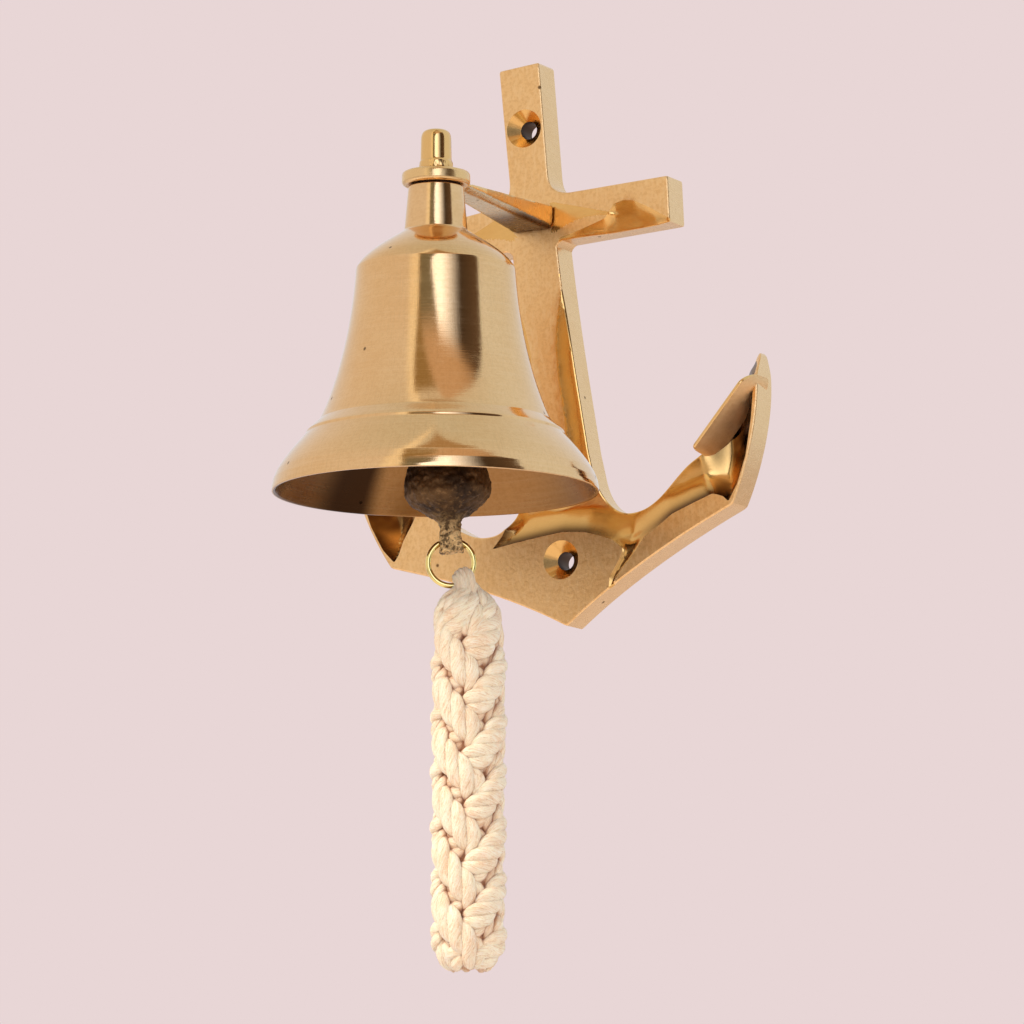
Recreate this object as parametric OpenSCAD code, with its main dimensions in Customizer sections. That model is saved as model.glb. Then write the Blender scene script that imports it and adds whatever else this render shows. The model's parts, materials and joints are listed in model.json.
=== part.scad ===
// Ship bell on a wall bracket cast as an anchor, with a loose clapper, a split ring and a
// plaited cotton lanyard. Millimetres. +Z is up, the wall is the plane y = 0, and -Y points
// into the room. The origin is on the wall, midway between the bracket's two screw holes.

/* [Bell] */
// Diameter of the bell's mouth
mouth_d = 76; // [74:0.5:77]
// Height of the bell from its mouth to the top of its neck
bell_h = 72.2; // [70:0.1:74]
// Radius of the neck where it meets the crown
neck_foot_r = 7.4; // [7:0.1:8]
// Radius of the neck at its top
neck_top_r = 6.5; // [6:0.1:7]

/* [Bracket] */
// Distance from the wall to the bell's axis
bell_reach = 54.2; // [52:0.1:60]
// Turn of the anchor away from plumb, about the wall's normal
bracket_lean = 5.4; // [0:0.2:7]
// Thickness of the anchor
anchor_t = 8; // [7:0.5:9]
// Distance between the two screw holes
hole_gap = 106.6; // [104:0.2:109]
// Radius of the screw holes
hole_r = 2.2; // [2:0.1:2.6]
// Radius of the countersinks at the front face
sink_r = 4.7; // [4.2:0.1:5.2]
// Depth of the fluke palms in front of the anchor's face
palm_depth = 6; // [4:0.5:8]
// Thickness of the fluke palms
palm_t = 2.2; // [1.6:0.2:3]

/* [Hanger] */
// Height of the eye's underside above the screws' midpoint
eye_z = 30; // [29:0.5:31]
// Radius of the eye at the arm's end
eye_r = 8; // [7:0.5:9]
// Thickness of the eye
eye_t = 3.2; // [2.6:0.2:3.6]
// Radius of the bolt that the bell hangs on
bolt_r = 3; // [2.6:0.1:3.2]
// Height of the cap nut above the eye
cap_h = 10.1; // [8:0.1:12]
// Radius of the cap nut
cap_r = 3.6; // [3.5:0.1:4]

/* [Clapper] */
// Radius of the clapper's ball
ball_r = 10; // [8:0.5:11]
// Distance from the clapper's pivot down to the middle of the ball
ball_drop = 41; // [39:0.5:42]
// Angle that the clapper hangs away from plumb at rest
clapper_tilt = 4; // [0:0.5:6]
// Turn of the clapper and its split ring about the vertical
clapper_turn = 29; // [0:1:45]
// Radius of the split ring along its wire
ring_r = 5.3; // [5:0.1:6]
// Radius of the split ring's wire
ring_wire_r = 0.65; // [0.5:0.05:0.7]

/* [Lanyard] */
// Half of the lanyard's width
lanyard_half_w = 8.5; // [7:0.5:9]
// Depth of the lanyard as a share of its width
lanyard_flatness = 0.82; // [0.7:0.02:1]

/* [Hidden] */
$fn = 64;
e = 0.01;
curve_steps = 8;
facet_fn = 32;

// Colours
brass = "#d8a45c";
pale_brass = "#dcc48e";
dark_brass = "#7a5a34";
cotton = "#f2e2c8";

// Fits
run_gap = 0.08;
loose_gap = 0.05;

// Plan position of the bell's axis, straight out from the middle of the arm's root
arm_root_z = 30.4;
bell_x = -arm_root_z * sin(bracket_lean);
bell_y = -bell_reach;

// Heights of the bell and of what holds it
neck_top_z = eye_z - 0.4;
mouth_z = neck_top_z - bell_h;
bell_k = mouth_d / 76;
crown_ceiling = 59.6;
ceiling_z = mouth_z + crown_ceiling;
crown_washer_t = 1.2;
crown_nut_h = 4.5;
crown_nut_r = 5.75;
cap_z = eye_z + eye_t + loose_gap;
cap_bore_depth = 5.4;

// The bolt's eye, the link and the clapper's eye: radius along the wire and wire radius
bolt_eye = [2.9, 1.2];
link = [3.6, 0.9];
clapper_eye = [3.0, 1.2];
chain_gap = 0.1;
bolt_eye_z = ceiling_z - 10.4;
bolt_seat_z = bolt_eye_z - bolt_eye[0];
link_z = bolt_seat_z + bolt_eye[1] + link[1] + chain_gap - link[0];
pivot_z = link_z - link[0];
clapper_eye_drop = clapper_eye[0] - clapper_eye[1] - link[1] - chain_gap;

// The clapper, measured down from its pivot
stem_r = 2;
tail_top = ball_drop + 6;
tail_end = ball_drop + 14.6;
tail_half_w = [2.1, 2.7];
tail_depth = 4.2;
ring_hole_r = 1.25;
ring_hole_drop = ball_drop + 11.7;
ring_hole_rise = 0.34;

// The split ring hangs plumb from the clapper's tail, in the clapper's turned frame
ring_x = sin(clapper_tilt) * ring_hole_drop;
ring_z = pivot_z - cos(clapper_tilt) * ring_hole_drop + ring_hole_rise - ring_r;
loop_angle = 36;
loop_x = ring_x + ring_r * sin(loop_angle);
loop_z = ring_z - ring_r * cos(loop_angle);
loop_wire = [2.35, 1.3];

// Route of the lanyard below its loop, in the clapper's turned frame: along x and z, and the
// share of its full width there
lanyard_route = [
    [7.2, -66.4, 0.26], [7.3, -68, 0.55], [7.5, -71, 0.88], [7.8, -76, 1], [7.8, -88, 1],
    [7.8, -100, 1], [7.8, -112, 1], [7.8, -124, 1], [7.8, -136, 1], [7.8, -148, 1],
    [7.8, -152, 0.8], [7.8, -154.2, 0.4]
];
lanyard_sides = 12;

// Anchor outline, right half, from the top of the shank round to the crown's point
shank_top_z = 68.8;
stock_half_l = 37.4;
stock_top_z = 34;
stock_low_z = 22.8;
arm_valley = [18.5, -44.6];
palm_foot = [39.6, -34];
palm_head = [54.4, -19.8];
bevel_slope = 1.25;
bill = [54.6, -11.6];
fluke_corner = [46.6, -47.6];
crown_tip_z = -69.4;

// Arm, from the eye to its root on the anchor
arm_near_y = bell_y + 7.3;
arm_near_half_w = 3.6;
arm_near_z = [29.6, 32];
arm_root_top = [6.1, 33];
arm_root_low = [5, 27.8];
arm_screw_r = 1.5;
arm_screw_head = [3, 1.5];
arm_screw_depth = 10;

function mix(a, b, t) = a * (1 - t) + b * t;
function bezier(a, b, c, d, t) =
    a * pow(1 - t, 3) + 3 * b * t * pow(1 - t, 2) + 3 * c * t * t * (1 - t) + d * pow(t, 3);
function curve(a, b, c, d, n = curve_steps) = [for (i = [0:n]) bezier(a, b, c, d, i / n)];
function mirrored(points) = [for (i = [len(points) - 1:-1:0]) [-points[i][0], points[i][1]]];

// A point of the bell's section: radius, and height above the mouth
function bell_pt(r, h) = [r * bell_k, mouth_z + h * bell_h / 72.2];

module torus(size) {
    rotate_extrude()
        translate([size[0], 0])
            circle(r = size[1], $fn = facet_fn);
}

// Anchor frame: x across, y up the shank, extruded out of the wall
module on_bracket(depth, from = 0) {
    rotate([0, -bracket_lean, 0])
        rotate([90, 0, 0])
            translate([0, 0, from])
                linear_extrude(depth)
                    children();
}

// Clapper frame: plumb below the bell's axis and turned about it
module turned() {
    translate([bell_x, bell_y, 0])
        rotate([0, 0, clapper_turn])
            children();
}

module anchor_outline() {
    half = concat(
        [[0, shank_top_z], [5.5, shank_top_z]],
        curve([5.3, 41], [5.3, 37], [7, 35.8], [10.5, 35.2]),
        [[stock_half_l, stock_top_z], [stock_half_l - 0.5, stock_low_z], [7.4, 23.9]],
        curve([6.1, 22.8], [6.8, 0], [8.4, -16], [9.3, -28]),
        curve([10.2, -34.5], [11, -41], [14.5, -44.6], arm_valley),
        curve([19.5, -44.6], [26, -44.4], [31, -37.5], [37.4, -35]),
        [palm_foot, [53.6, -14.4]],
        curve([53.8, -12.6], [54, -11.4], [55.4, -11.2], [55.6, -13.6], 4),
        curve([56, -17], [56, -27], [51.3, -39.6], fluke_corner),
        curve([45.6, -48], [34, -52], [15, -59.5], [0, crown_tip_z])
    );
    polygon(concat(half, mirrored(half)));
}

module palm_outline() {
    along = (palm_head - palm_foot) / norm(palm_head - palm_foot);
    out = [along[1], -along[0]] * palm_t;
    polygon([palm_foot, palm_head, palm_head + out, palm_foot + out]);
}

// Slopes the bill's front back to the wall, inward of the palm
module bill_bevel() {
    along = (palm_head - palm_foot) / norm(palm_head - palm_foot);
    bevel_w = 7;
    translate([palm_foot[0] + along[0], palm_foot[1] + along[1], anchor_t])
        rotate([0, 0, atan2(along[1], along[0])])
            rotate([90, 0, 90])
                linear_extrude(32)
                    polygon([[0, 0], [bevel_w, 2], [bevel_w, -bevel_w * bevel_slope]]);
}

module countersunk_hole(z) {
    rotate([0, -bracket_lean, 0])
        translate([0, 0, z])
            rotate([90, 0, 0]) {
                translate([0, 0, -1])
                    cylinder(r = hole_r, h = anchor_t + 2);
                translate([0, 0, anchor_t - (sink_r - hole_r)])
                    cylinder(r1 = hole_r, r2 = sink_r + e, h = sink_r - hole_r + e);
            }
}

module arm_screw_place() {
    rotate([0, -bracket_lean, 0])
        translate([0, 0, arm_root_z])
            rotate([90, 0, 0])
                children();
}

module anchor() {
    color(brass)
        difference() {
            union() {
                on_bracket(anchor_t)
                    anchor_outline();
                on_bracket(palm_depth + 1, anchor_t - 1)
                    palm_outline();
                on_bracket(palm_depth + 1, anchor_t - 1)
                    mirror([1, 0])
                        palm_outline();
            }
            rotate([0, -bracket_lean, 0])
                rotate([90, 0, 0]) {
                    bill_bevel();
                    mirror([1, 0, 0])
                        bill_bevel();
                }
            countersunk_hole(hole_gap / 2);
            countersunk_hole(-hole_gap / 2);
            arm_screw_place() {
                translate([0, 0, -1])
                    cylinder(r = arm_screw_r + loose_gap, h = anchor_t + 2);
                translate([0, 0, -e])
                    cylinder(r1 = arm_screw_head[0] + loose_gap, r2 = arm_screw_r + loose_gap,
                             h = arm_screw_head[1] + loose_gap);
            }
        }
}

module hanger_arm() {
    color(brass)
        difference() {
            union() {
                translate([bell_x, bell_y, eye_z])
                    cylinder(r = eye_r, h = eye_t);
                translate([bell_x - arm_near_half_w, bell_y + bolt_r + 1, eye_z])
                    cube([2 * arm_near_half_w, arm_near_y - bell_y - bolt_r, arm_near_z[1] - eye_z]);
                hull() {
                    translate([bell_x - arm_near_half_w, arm_near_y, arm_near_z[0]])
                        cube([2 * arm_near_half_w, 1, arm_near_z[1] - arm_near_z[0]]);
                    on_bracket(0.5, anchor_t)
                        polygon([
                            [-arm_root_top[0], arm_root_top[1]], arm_root_top,
                            arm_root_low, [-arm_root_low[0], arm_root_low[1]]
                        ]);
                }
            }
            translate([bell_x, bell_y, eye_z - 1])
                cylinder(r = bolt_r + run_gap, h = eye_t + 2);
            arm_screw_place()
                cylinder(r = arm_screw_r + loose_gap, h = anchor_t + arm_screw_depth + 0.5);
        }
}

module arm_screw() {
    color(pale_brass)
        arm_screw_place() {
            cylinder(r = arm_screw_r, h = anchor_t + arm_screw_depth);
            cylinder(r1 = arm_screw_head[0], r2 = arm_screw_r, h = arm_screw_head[1]);
        }
}

module bell() {
    section = concat(
        [[bolt_r + loose_gap, neck_top_z], [neck_top_r, neck_top_z]],
        [[neck_foot_r, bell_pt(0, 61.9)[1]]],
        curve(bell_pt(7.9, 61.4), bell_pt(11.2, 59.3), bell_pt(16.8, 56.3), bell_pt(18.6, 52.8)),
        curve(bell_pt(18.7, 52), bell_pt(19.5, 39.8), bell_pt(22.5, 26), bell_pt(27, 16.6)),
        [bell_pt(30.1, 13.9)],
        curve(bell_pt(30.2, 13.2), bell_pt(32.5, 10.6), bell_pt(35.4, 7.4), bell_pt(37, 4.3)),
        [bell_pt(37.7, 2.5), bell_pt(38, 0.8), bell_pt(38, 0), bell_pt(37.3, 0)],
        curve(bell_pt(37.1, 0.3), bell_pt(35.2, 4.6), bell_pt(32.6, 8.8), bell_pt(27.2, 14.1)),
        curve(bell_pt(26.8, 14.6), bell_pt(20.6, 22.6), bell_pt(17.4, 38.6), bell_pt(16.3, 50.8)),
        curve(bell_pt(16.2, 51.4), bell_pt(14.6, 54.6), bell_pt(11, 58.6), bell_pt(7, crown_ceiling)),
        [[bolt_r + loose_gap, bell_pt(0, crown_ceiling)[1]]]
    );
    color(pale_brass)
        translate([bell_x, bell_y, 0])
            rotate_extrude()
                polygon(section);
}

module hanger_bolt() {
    shank_z = bolt_eye_z + bolt_eye[0];
    color(brass)
        turned() {
            translate([0, 0, shank_z])
                cylinder(r = bolt_r, h = cap_z + cap_bore_depth - 0.4 - shank_z);
            translate([0, 0, bolt_eye_z])
                rotate([90, 0, 0])
                    torus(bolt_eye);
        }
}

module cap_nut() {
    round_r = 2;
    foot_h = 2.6;
    foot_r = cap_r + 0.25;
    corner = [for (i = [0:6]) [cap_r - round_r, cap_h - round_r] + round_r * [cos(i * 15), sin(i * 15)]];
    color(brass)
        translate([bell_x, bell_y, cap_z])
            rotate_extrude()
                polygon(concat(
                    [[bolt_r + loose_gap, 0], [foot_r, 0], [foot_r, foot_h - 0.6], [cap_r, foot_h]],
                    corner,
                    [[0, cap_h], [0, cap_bore_depth], [bolt_r + loose_gap, cap_bore_depth]]
                ));
}

module washer(z, r, t) {
    translate([bell_x, bell_y, z])
        difference() {
            cylinder(r = r, h = t);
            translate([0, 0, -1])
                cylinder(r = bolt_r + loose_gap, h = t + 2);
        }
}

module swivel_washer() {
    color(dark_brass)
        washer(neck_top_z, neck_top_r - 0.9, eye_z - neck_top_z - loose_gap);
}

module crown_washer() {
    color(pale_brass)
        washer(ceiling_z - crown_washer_t, neck_top_r, crown_washer_t);
}

module crown_nut() {
    nut_z = ceiling_z - crown_washer_t - crown_nut_h;
    color(brass)
        translate([bell_x, bell_y, nut_z])
            difference() {
                cylinder(r = crown_nut_r, h = crown_nut_h, $fn = 6);
                translate([0, 0, -1])
                    cylinder(r = bolt_r + loose_gap, h = crown_nut_h + 2);
            }
}

module clapper_link() {
    color(brass)
        turned()
            translate([0, 0, link_z])
                rotate([0, 90, 0])
                    torus(link);
}

module clapper_body() {
    neck_r = tail_half_w[0];
    rotate_extrude()
        polygon(concat(
            [[0, -4.4], [stem_r, -4.4], [stem_r, 14 - ball_drop], [3.4, 10.2 - ball_drop]],
            curve([0.55 * ball_r, 9 - ball_drop], [0.86 * ball_r, 8 - ball_drop],
                  [ball_r, 3.6 - ball_drop], [ball_r, -ball_drop]),
            curve([ball_r, -0.2 - ball_drop], [ball_r, -3 - ball_drop],
                  [0.62 * ball_r, -4.6 - ball_drop], [neck_r, -7.6 - ball_drop]),
            [[0, -7.6 - ball_drop]]
        ));
    translate([0, 0, -clapper_eye_drop])
        rotate([90, 0, 0])
            torus(clapper_eye);
    translate([0, tail_depth / 2, 0])
        rotate([90, 0, 0])
            linear_extrude(tail_depth)
                polygon([
                    [-tail_half_w[0], -tail_top], [tail_half_w[0], -tail_top],
                    [tail_half_w[1], -tail_end], [-tail_half_w[1], -tail_end]
                ]);
}

module clapper() {
    color(dark_brass)
        turned()
            translate([0, 0, pivot_z])
                rotate([0, -clapper_tilt, 0])
                    difference() {
                        clapper_body();
                        translate([-5, 0, -ring_hole_drop])
                            rotate([0, 90, 0])
                                cylinder(r = ring_hole_r, h = 10);
                    }
}

module split_ring() {
    color(brass)
        turned()
            translate([ring_x, 0, ring_z])
                rotate([90, 0, 0])
                    torus([ring_r, ring_wire_r]);
}

module lanyard_loop() {
    color(cotton)
        turned()
            translate([loop_x, 0, loop_z])
                rotate([0, 90 - loop_angle, 0])
                    torus(loop_wire);
}

// One oval ring of the lanyard's tube, level across its route
function lanyard_ring(p) = [
    for (i = [0:lanyard_sides - 1])
        let (a = 360 * i / lanyard_sides, w = lanyard_half_w * p[2])
            [p[0] + w * cos(a), w * lanyard_flatness * sin(a), p[1]]
];

module lanyard() {
    n = lanyard_sides;
    rings = len(lanyard_route);
    points = [for (p = lanyard_route) each lanyard_ring(p)];
    sides = [
        for (k = [0:rings - 2]) for (i = [0:n - 1])
            [k * n + i, k * n + (i + 1) % n, (k + 1) * n + (i + 1) % n, (k + 1) * n + i]
    ];
    top = [for (i = [n - 1:-1:0]) i];
    bottom = [for (i = [0:n - 1]) (rings - 1) * n + i];
    color(cotton)
        turned()
            polyhedron(points, concat([top], sides, [bottom]));
}

anchor();
hanger_arm();
arm_screw();
bell();
hanger_bolt();
cap_nut();
swivel_washer();
crown_washer();
crown_nut();
clapper_link();
clapper();
split_ring();
lanyard_loop();
lanyard();
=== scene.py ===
import json
import math

import bmesh
import bpy
import numpy as np
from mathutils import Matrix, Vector, geometry, noise


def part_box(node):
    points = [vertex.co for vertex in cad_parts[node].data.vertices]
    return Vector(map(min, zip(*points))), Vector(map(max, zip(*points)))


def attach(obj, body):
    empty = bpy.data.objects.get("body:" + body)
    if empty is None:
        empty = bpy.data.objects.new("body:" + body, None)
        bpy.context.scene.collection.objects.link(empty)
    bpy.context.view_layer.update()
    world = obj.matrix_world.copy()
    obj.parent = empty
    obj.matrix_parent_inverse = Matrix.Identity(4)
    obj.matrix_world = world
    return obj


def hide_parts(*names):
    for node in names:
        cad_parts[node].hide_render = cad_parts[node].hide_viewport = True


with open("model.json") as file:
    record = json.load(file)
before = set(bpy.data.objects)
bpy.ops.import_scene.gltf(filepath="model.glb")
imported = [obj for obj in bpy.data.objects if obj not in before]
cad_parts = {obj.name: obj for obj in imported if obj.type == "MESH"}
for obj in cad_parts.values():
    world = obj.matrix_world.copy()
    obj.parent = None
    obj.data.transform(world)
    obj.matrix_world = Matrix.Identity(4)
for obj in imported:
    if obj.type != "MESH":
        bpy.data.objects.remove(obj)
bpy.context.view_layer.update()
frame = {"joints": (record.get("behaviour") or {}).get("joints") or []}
MM = 0.001
JOINTS = {j["name"]: j for j in frame["joints"]}


# ---------------------------------------------------------------- places, from the frame
def box_mm(node):
    """A CAD node's lowest and highest corners, in millimetres."""
    lo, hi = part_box(node)
    return np.array(lo) / MM, np.array(hi) / MM


def joint_mm(name):
    return np.array(JOINTS[name]["pos_m"]) / MM


BELL_LO, BELL_HI = box_mm("bell")
AXIS = (BELL_LO[:2] + BELL_HI[:2]) / 2  # the bell's upright axis
MOUTH_R = (BELL_HI[0] - BELL_LO[0]) / 2
MOUTH_Z, NECK_Z = BELL_LO[2], BELL_HI[2]
BORE_R = 3.05  # through the bell, the cap and the nuts
EYE_Z, EYE_R = joint_mm("bell_swivel")[2], AXIS[1] - box_mm("hanger_arm")[0][1]
EYE_T = 3.2
ANCHOR_T = 8.0
LEAN = math.radians(5.4)  # of the bracket, about the wall's normal
HOLE_Z, HOLE_R, SINK_R = 53.3, 2.2, 4.7
E_R = np.array(JOINTS["link_swing"]["axis"], float)  # across the clapper's swing
E_T = np.array([-E_R[1], E_R[0], 0.0])
UP = np.array([0.0, 0.0, 1.0])
PIVOT = joint_mm("clapper_swing")
TILT = math.radians(4)  # of the resting clapper
LOOP = joint_mm("lanyard_swing")
RING_R, WIRE_R = 5.3, 0.65
RING_C = joint_mm("ring_swing") - RING_R * UP


def bezier(a, b, c, d, n=16):
    """Points along a cubic curve from a to d."""
    t = np.linspace(0, 1, n + 1)[:, None]
    a, b, c, d = (np.array(p, float) for p in (a, b, c, d))
    return a * (1 - t) ** 3 + 3 * b * t * (1 - t) ** 2 + 3 * c * t * t * (1 - t) + d * t**3


def smoothstep(x, a, b):
    """Rises softly from 0 at a to 1 at b."""
    t = np.clip((x - a) / (b - a), 0, 1)
    return t * t * (3 - 2 * t)


# ---------------------------------------------------------------- camera
CAM_AZ, CAM_EL, CAM_DIST = math.radians(29.2), math.radians(-8.83), 1.3231
CAM_TARGET = Vector((-1.61 * MM, -20 * MM, -42.67 * MM))
cam = bpy.data.objects.new("camera", bpy.data.cameras.new("camera"))
bpy.context.scene.collection.objects.link(cam)
back = Vector((math.sin(CAM_AZ) * math.cos(CAM_EL), -math.cos(CAM_AZ) * math.cos(CAM_EL), math.sin(CAM_EL)))
cam.location = CAM_TARGET + back * CAM_DIST
cam.rotation_mode = "QUATERNION"
cam.rotation_quaternion = (-back).to_track_quat("-Z", "Y")
cam.data.lens = 196.2
cam.data.sensor_width = 36
cam.data.clip_start, cam.data.clip_end = 0.05, 30
bpy.context.scene.camera = cam


# ---------------------------------------------------------------- node helpers
def new_material(name):
    """An empty material with its shader: the material, its node tree and the shader."""
    m = bpy.data.materials.new(name)
    m.use_nodes = True
    nt = m.node_tree
    nt.nodes.clear()
    out = nt.nodes.new("ShaderNodeOutputMaterial")
    bsdf = nt.nodes.new("ShaderNodeBsdfPrincipled")
    nt.links.new(bsdf.outputs[0], out.inputs[0])
    return m, nt, bsdf


class Nodes:
    """Short names for building a node tree."""

    def __init__(self, nt):
        self.nt = nt

    def put(self, socket, value):
        if isinstance(value, bpy.types.NodeSocket):
            self.nt.links.new(value, socket)
        else:
            socket.default_value = value

    def math(self, op, a, b=0.0, c=0.0):
        n = self.nt.nodes.new("ShaderNodeMath")
        n.operation = op
        for i, v in enumerate((a, b, c)):
            self.put(n.inputs[i], v)
        return n.outputs[0]

    def coord(self):
        return self.nt.nodes.new("ShaderNodeTexCoord").outputs["Object"]

    def mapping(self, vector, scale=(1, 1, 1), rotation=(0, 0, 0)):
        n = self.nt.nodes.new("ShaderNodeMapping")
        self.put(n.inputs["Vector"], vector)
        n.inputs["Scale"].default_value = scale
        n.inputs["Rotation"].default_value = rotation
        return n.outputs[0]

    def noise(self, vector, scale, detail=2.0, rough=0.5, distortion=0.0):
        n = self.nt.nodes.new("ShaderNodeTexNoise")
        self.put(n.inputs["Vector"], vector)
        n.inputs["Scale"].default_value = scale
        n.inputs["Detail"].default_value = detail
        n.inputs["Roughness"].default_value = rough
        n.inputs["Distortion"].default_value = distortion
        return n.outputs["Fac"]

    def voronoi(self, vector, scale):
        n = self.nt.nodes.new("ShaderNodeTexVoronoi")
        self.put(n.inputs["Vector"], vector)
        n.inputs["Scale"].default_value = scale
        return n.outputs["Distance"], n.outputs["Color"]

    def remap(self, value, a, b, c=0.0, d=1.0, smooth=False):
        n = self.nt.nodes.new("ShaderNodeMapRange")
        n.interpolation_type = "SMOOTHSTEP" if smooth else "LINEAR"
        self.put(n.inputs[0], value)
        for i, v in enumerate((a, b, c, d)):
            n.inputs[i + 1].default_value = v
        return n.outputs[0]

    def mix(self, fac, a, b):
        n = self.nt.nodes.new("ShaderNodeMix")
        n.data_type = "RGBA"
        self.put(n.inputs[0], fac)
        for socket, v in ((n.inputs[6], a), (n.inputs[7], b)):
            self.put(socket, (*v, 1) if isinstance(v, tuple) and len(v) == 3 else v)
        return n.outputs[2]

    def bump(self, height, strength, distance, normal=None):
        n = self.nt.nodes.new("ShaderNodeBump")
        n.inputs["Strength"].default_value = strength
        n.inputs["Distance"].default_value = distance
        self.put(n.inputs["Height"], height)
        if normal is not None:
            self.put(n.inputs["Normal"], normal)
        return n.outputs[0]

    def sep(self, vector):
        n = self.nt.nodes.new("ShaderNodeSeparateXYZ")
        self.put(n.inputs[0], vector)
        return n.outputs

    def combine(self, x, y, z):
        n = self.nt.nodes.new("ShaderNodeCombineXYZ")
        for i, v in enumerate((x, y, z)):
            self.put(n.inputs[i], v)
        return n.outputs[0]

    def occlusion(self, distance):
        n = self.nt.nodes.new("ShaderNodeAmbientOcclusion")
        n.samples = 8
        n.inputs["Distance"].default_value = distance
        return n.outputs["AO"]

    def attribute(self, name):
        n = self.nt.nodes.new("ShaderNodeAttribute")
        n.attribute_name = name
        return n.outputs["Fac"]


# ---------------------------------------------------------------- materials
def tinted(colour, factors):
    return tuple(c * k for c, k in zip(colour, factors))


def metal(name, colour, dark, rough, scratch=(200, 200, 200), slant=0.0, swirl=0.35, pits=0.5, grain=0.0,
          wobble=0.4,
          lathed=False, residue_and_shade=0.0, mottle=0.0, stain_and_reflection=None):
    """Brass. scratch scales its fine brushed lines, and slant turns them about y. swirl is their depth, pits the
    share of small casting pits, grain a rough cast skin and wobble the slow waves left by hand polishing. A turned
    piece has its lines round the bell's axis. residue is the share of dark brown painted where the attribute of
    that
    name says so: painted shade and dark reflection in hollows, standing also for polishing compound left there.
    mottle is the strength of fine colour changes, and stain four angles where a dark band round the bell's axis
    starts and ends: painted dark reflection inside the bell, standing also for oxide. The base colour also darkens
    where the occlusion node finds the surface hemmed in: painted shade in corners and narrow hollows."""
    m, nt, bsdf = new_material(name)
    n = Nodes(nt)
    p = n.coord()
    lined = p
    if lathed:
        x, y, z = n.sep(p)
        dx = n.math("SUBTRACT", x, AXIS[0] * MM)
        dy = n.math("SUBTRACT", y, AXIS[1] * MM)
        turn = n.math("ARCTAN2", dy, dx)
        lined = n.combine(n.math("MULTIPLY", turn, 0.03), 0.0, z)
        hatch = n.noise(n.mapping(lined, (2600, 1, 130), (0, 0.8, 0)), 1.0, 3.0, 0.65)
    sx, sy, sz = scratch
    lines = n.noise(n.mapping(lined, scratch, (0, slant, 0)), 1.0, 3.0, 0.62)
    cross = n.noise(n.mapping(lined, (sx * 0.7, sy, sz * 0.7), (0, slant + 0.9, 0)), 1.0, 2.0, 0.6)
    slow = n.noise(p, 45, 3.0, 0.55)
    mid = n.noise(p, 260, 3.0, 0.6)
    fine = n.noise(p, 1150, 4.0, 0.75)
    near, cell = n.voronoi(p, 210)
    chosen = n.math("GREATER_THAN", n.sep(cell)[0], 1 - 0.35 * pits)
    pit = n.math("MULTIPLY", n.remap(near, 0.05, 0.13, 1.0, 0.0, True), chosen)
    crevice_shade = n.remap(n.occlusion(2.5 * MM), 0.25, 0.85, 1.0, 0.0, True)

    base = n.mix(n.remap(slow, 0.35, 0.68, 0.0, 0.55, True), colour, tinted(colour, (0.95, 0.88, 0.78)))
    base = n.mix(n.remap(mid, 0.5, 0.75, 0.0, 0.35, True), base, tinted(colour, (1.04, 1.06, 1.1)))
    if mottle:
        base = n.mix(n.remap(fine, 0.44, 0.60, 0.0, mottle, True), base, tinted(colour, (0.84, 0.76, 0.66)))
        pale = tuple(min(1, c) for c in tinted(colour, (1.06, 1.1, 1.2)))
        base = n.mix(n.remap(lines, 0.45, 0.65, 0.0, mottle, True), base, pale)
    if lathed:
        base = n.mix(n.remap(hatch, 0.5, 0.7, 0.0, 0.25, True), base, tinted(colour, (0.78, 0.78, 0.78)))
    # A dark band round part of the bell's inside, by angle about its axis: painted dark reflection, standing also
    # for oxide.
    if stain_and_reflection is not None:
        start, full, fade, end = stain_and_reflection
        back = n.math("ARCTAN2", n.math("MULTIPLY", dy, -1.0), n.math("MULTIPLY", dx, -1.0))
        tarnish_and_reflection = n.math("MULTIPLY", n.remap(back, start, full, 0, 0.97, True),
                         n.remap(back, fade, end, 1, 0.6, True))
        tarnish_and_reflection = n.math("MULTIPLY", tarnish_and_reflection, n.remap(back, 0.6, 1.1, 1, 0, True))
        base = n.mix(tarnish_and_reflection, base, dark)
    # Dark brown where the attribute says so: painted shade and dark reflection in hollows, standing also for
    # polishing compound left there.
    if residue_and_shade:
        base = n.mix(n.math("MULTIPLY", n.attribute("residue_and_shade"), residue_and_shade), base, dark)
    # Painted shade: the base colour darkens where the occlusion node finds the surface hemmed in, in corners and
    # narrow hollows.
    base = n.mix(n.math("MULTIPLY", crevice_shade, 0.55), base, dark)
    base = n.mix(n.math("MULTIPLY", pit, 0.8), base, tinted(dark, (0.35, 0.35, 0.35)))
    nt.links.new(base, bsdf.inputs["Base Color"])
    bsdf.inputs["Metallic"].default_value = 1.0

    r = n.math("ADD", rough, n.math("MULTIPLY", n.math("SUBTRACT", lines, 0.5), 0.22))
    r = n.math("ADD", r, n.math("MULTIPLY", n.math("SUBTRACT", mid, 0.5), 0.14))
    r = n.math("ADD", r, n.math("MULTIPLY", pit, 0.3))
    nt.links.new(n.math("MAXIMUM", r, 0.04), bsdf.inputs["Roughness"])

    height = n.math("MULTIPLY", lines, swirl)
    height = n.math("ADD", height, n.math("MULTIPLY", cross, swirl * 0.35))
    if lathed:
        height = n.math("ADD", height, n.math("MULTIPLY", hatch, 0.4 * swirl))
    height = n.math("ADD", height, n.math("MULTIPLY", pit, -2.2))
    height = n.math("ADD", height, n.math("MULTIPLY", fine, 1.6 * grain))
    bumped = n.bump(height, 1.0, 0.012 * MM)
    bumped = n.bump(n.noise(p, 120, 1.0, 0.5), wobble, 0.12 * MM, bumped)
    nt.links.new(bumped, bsdf.inputs["Normal"])
    return m


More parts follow.
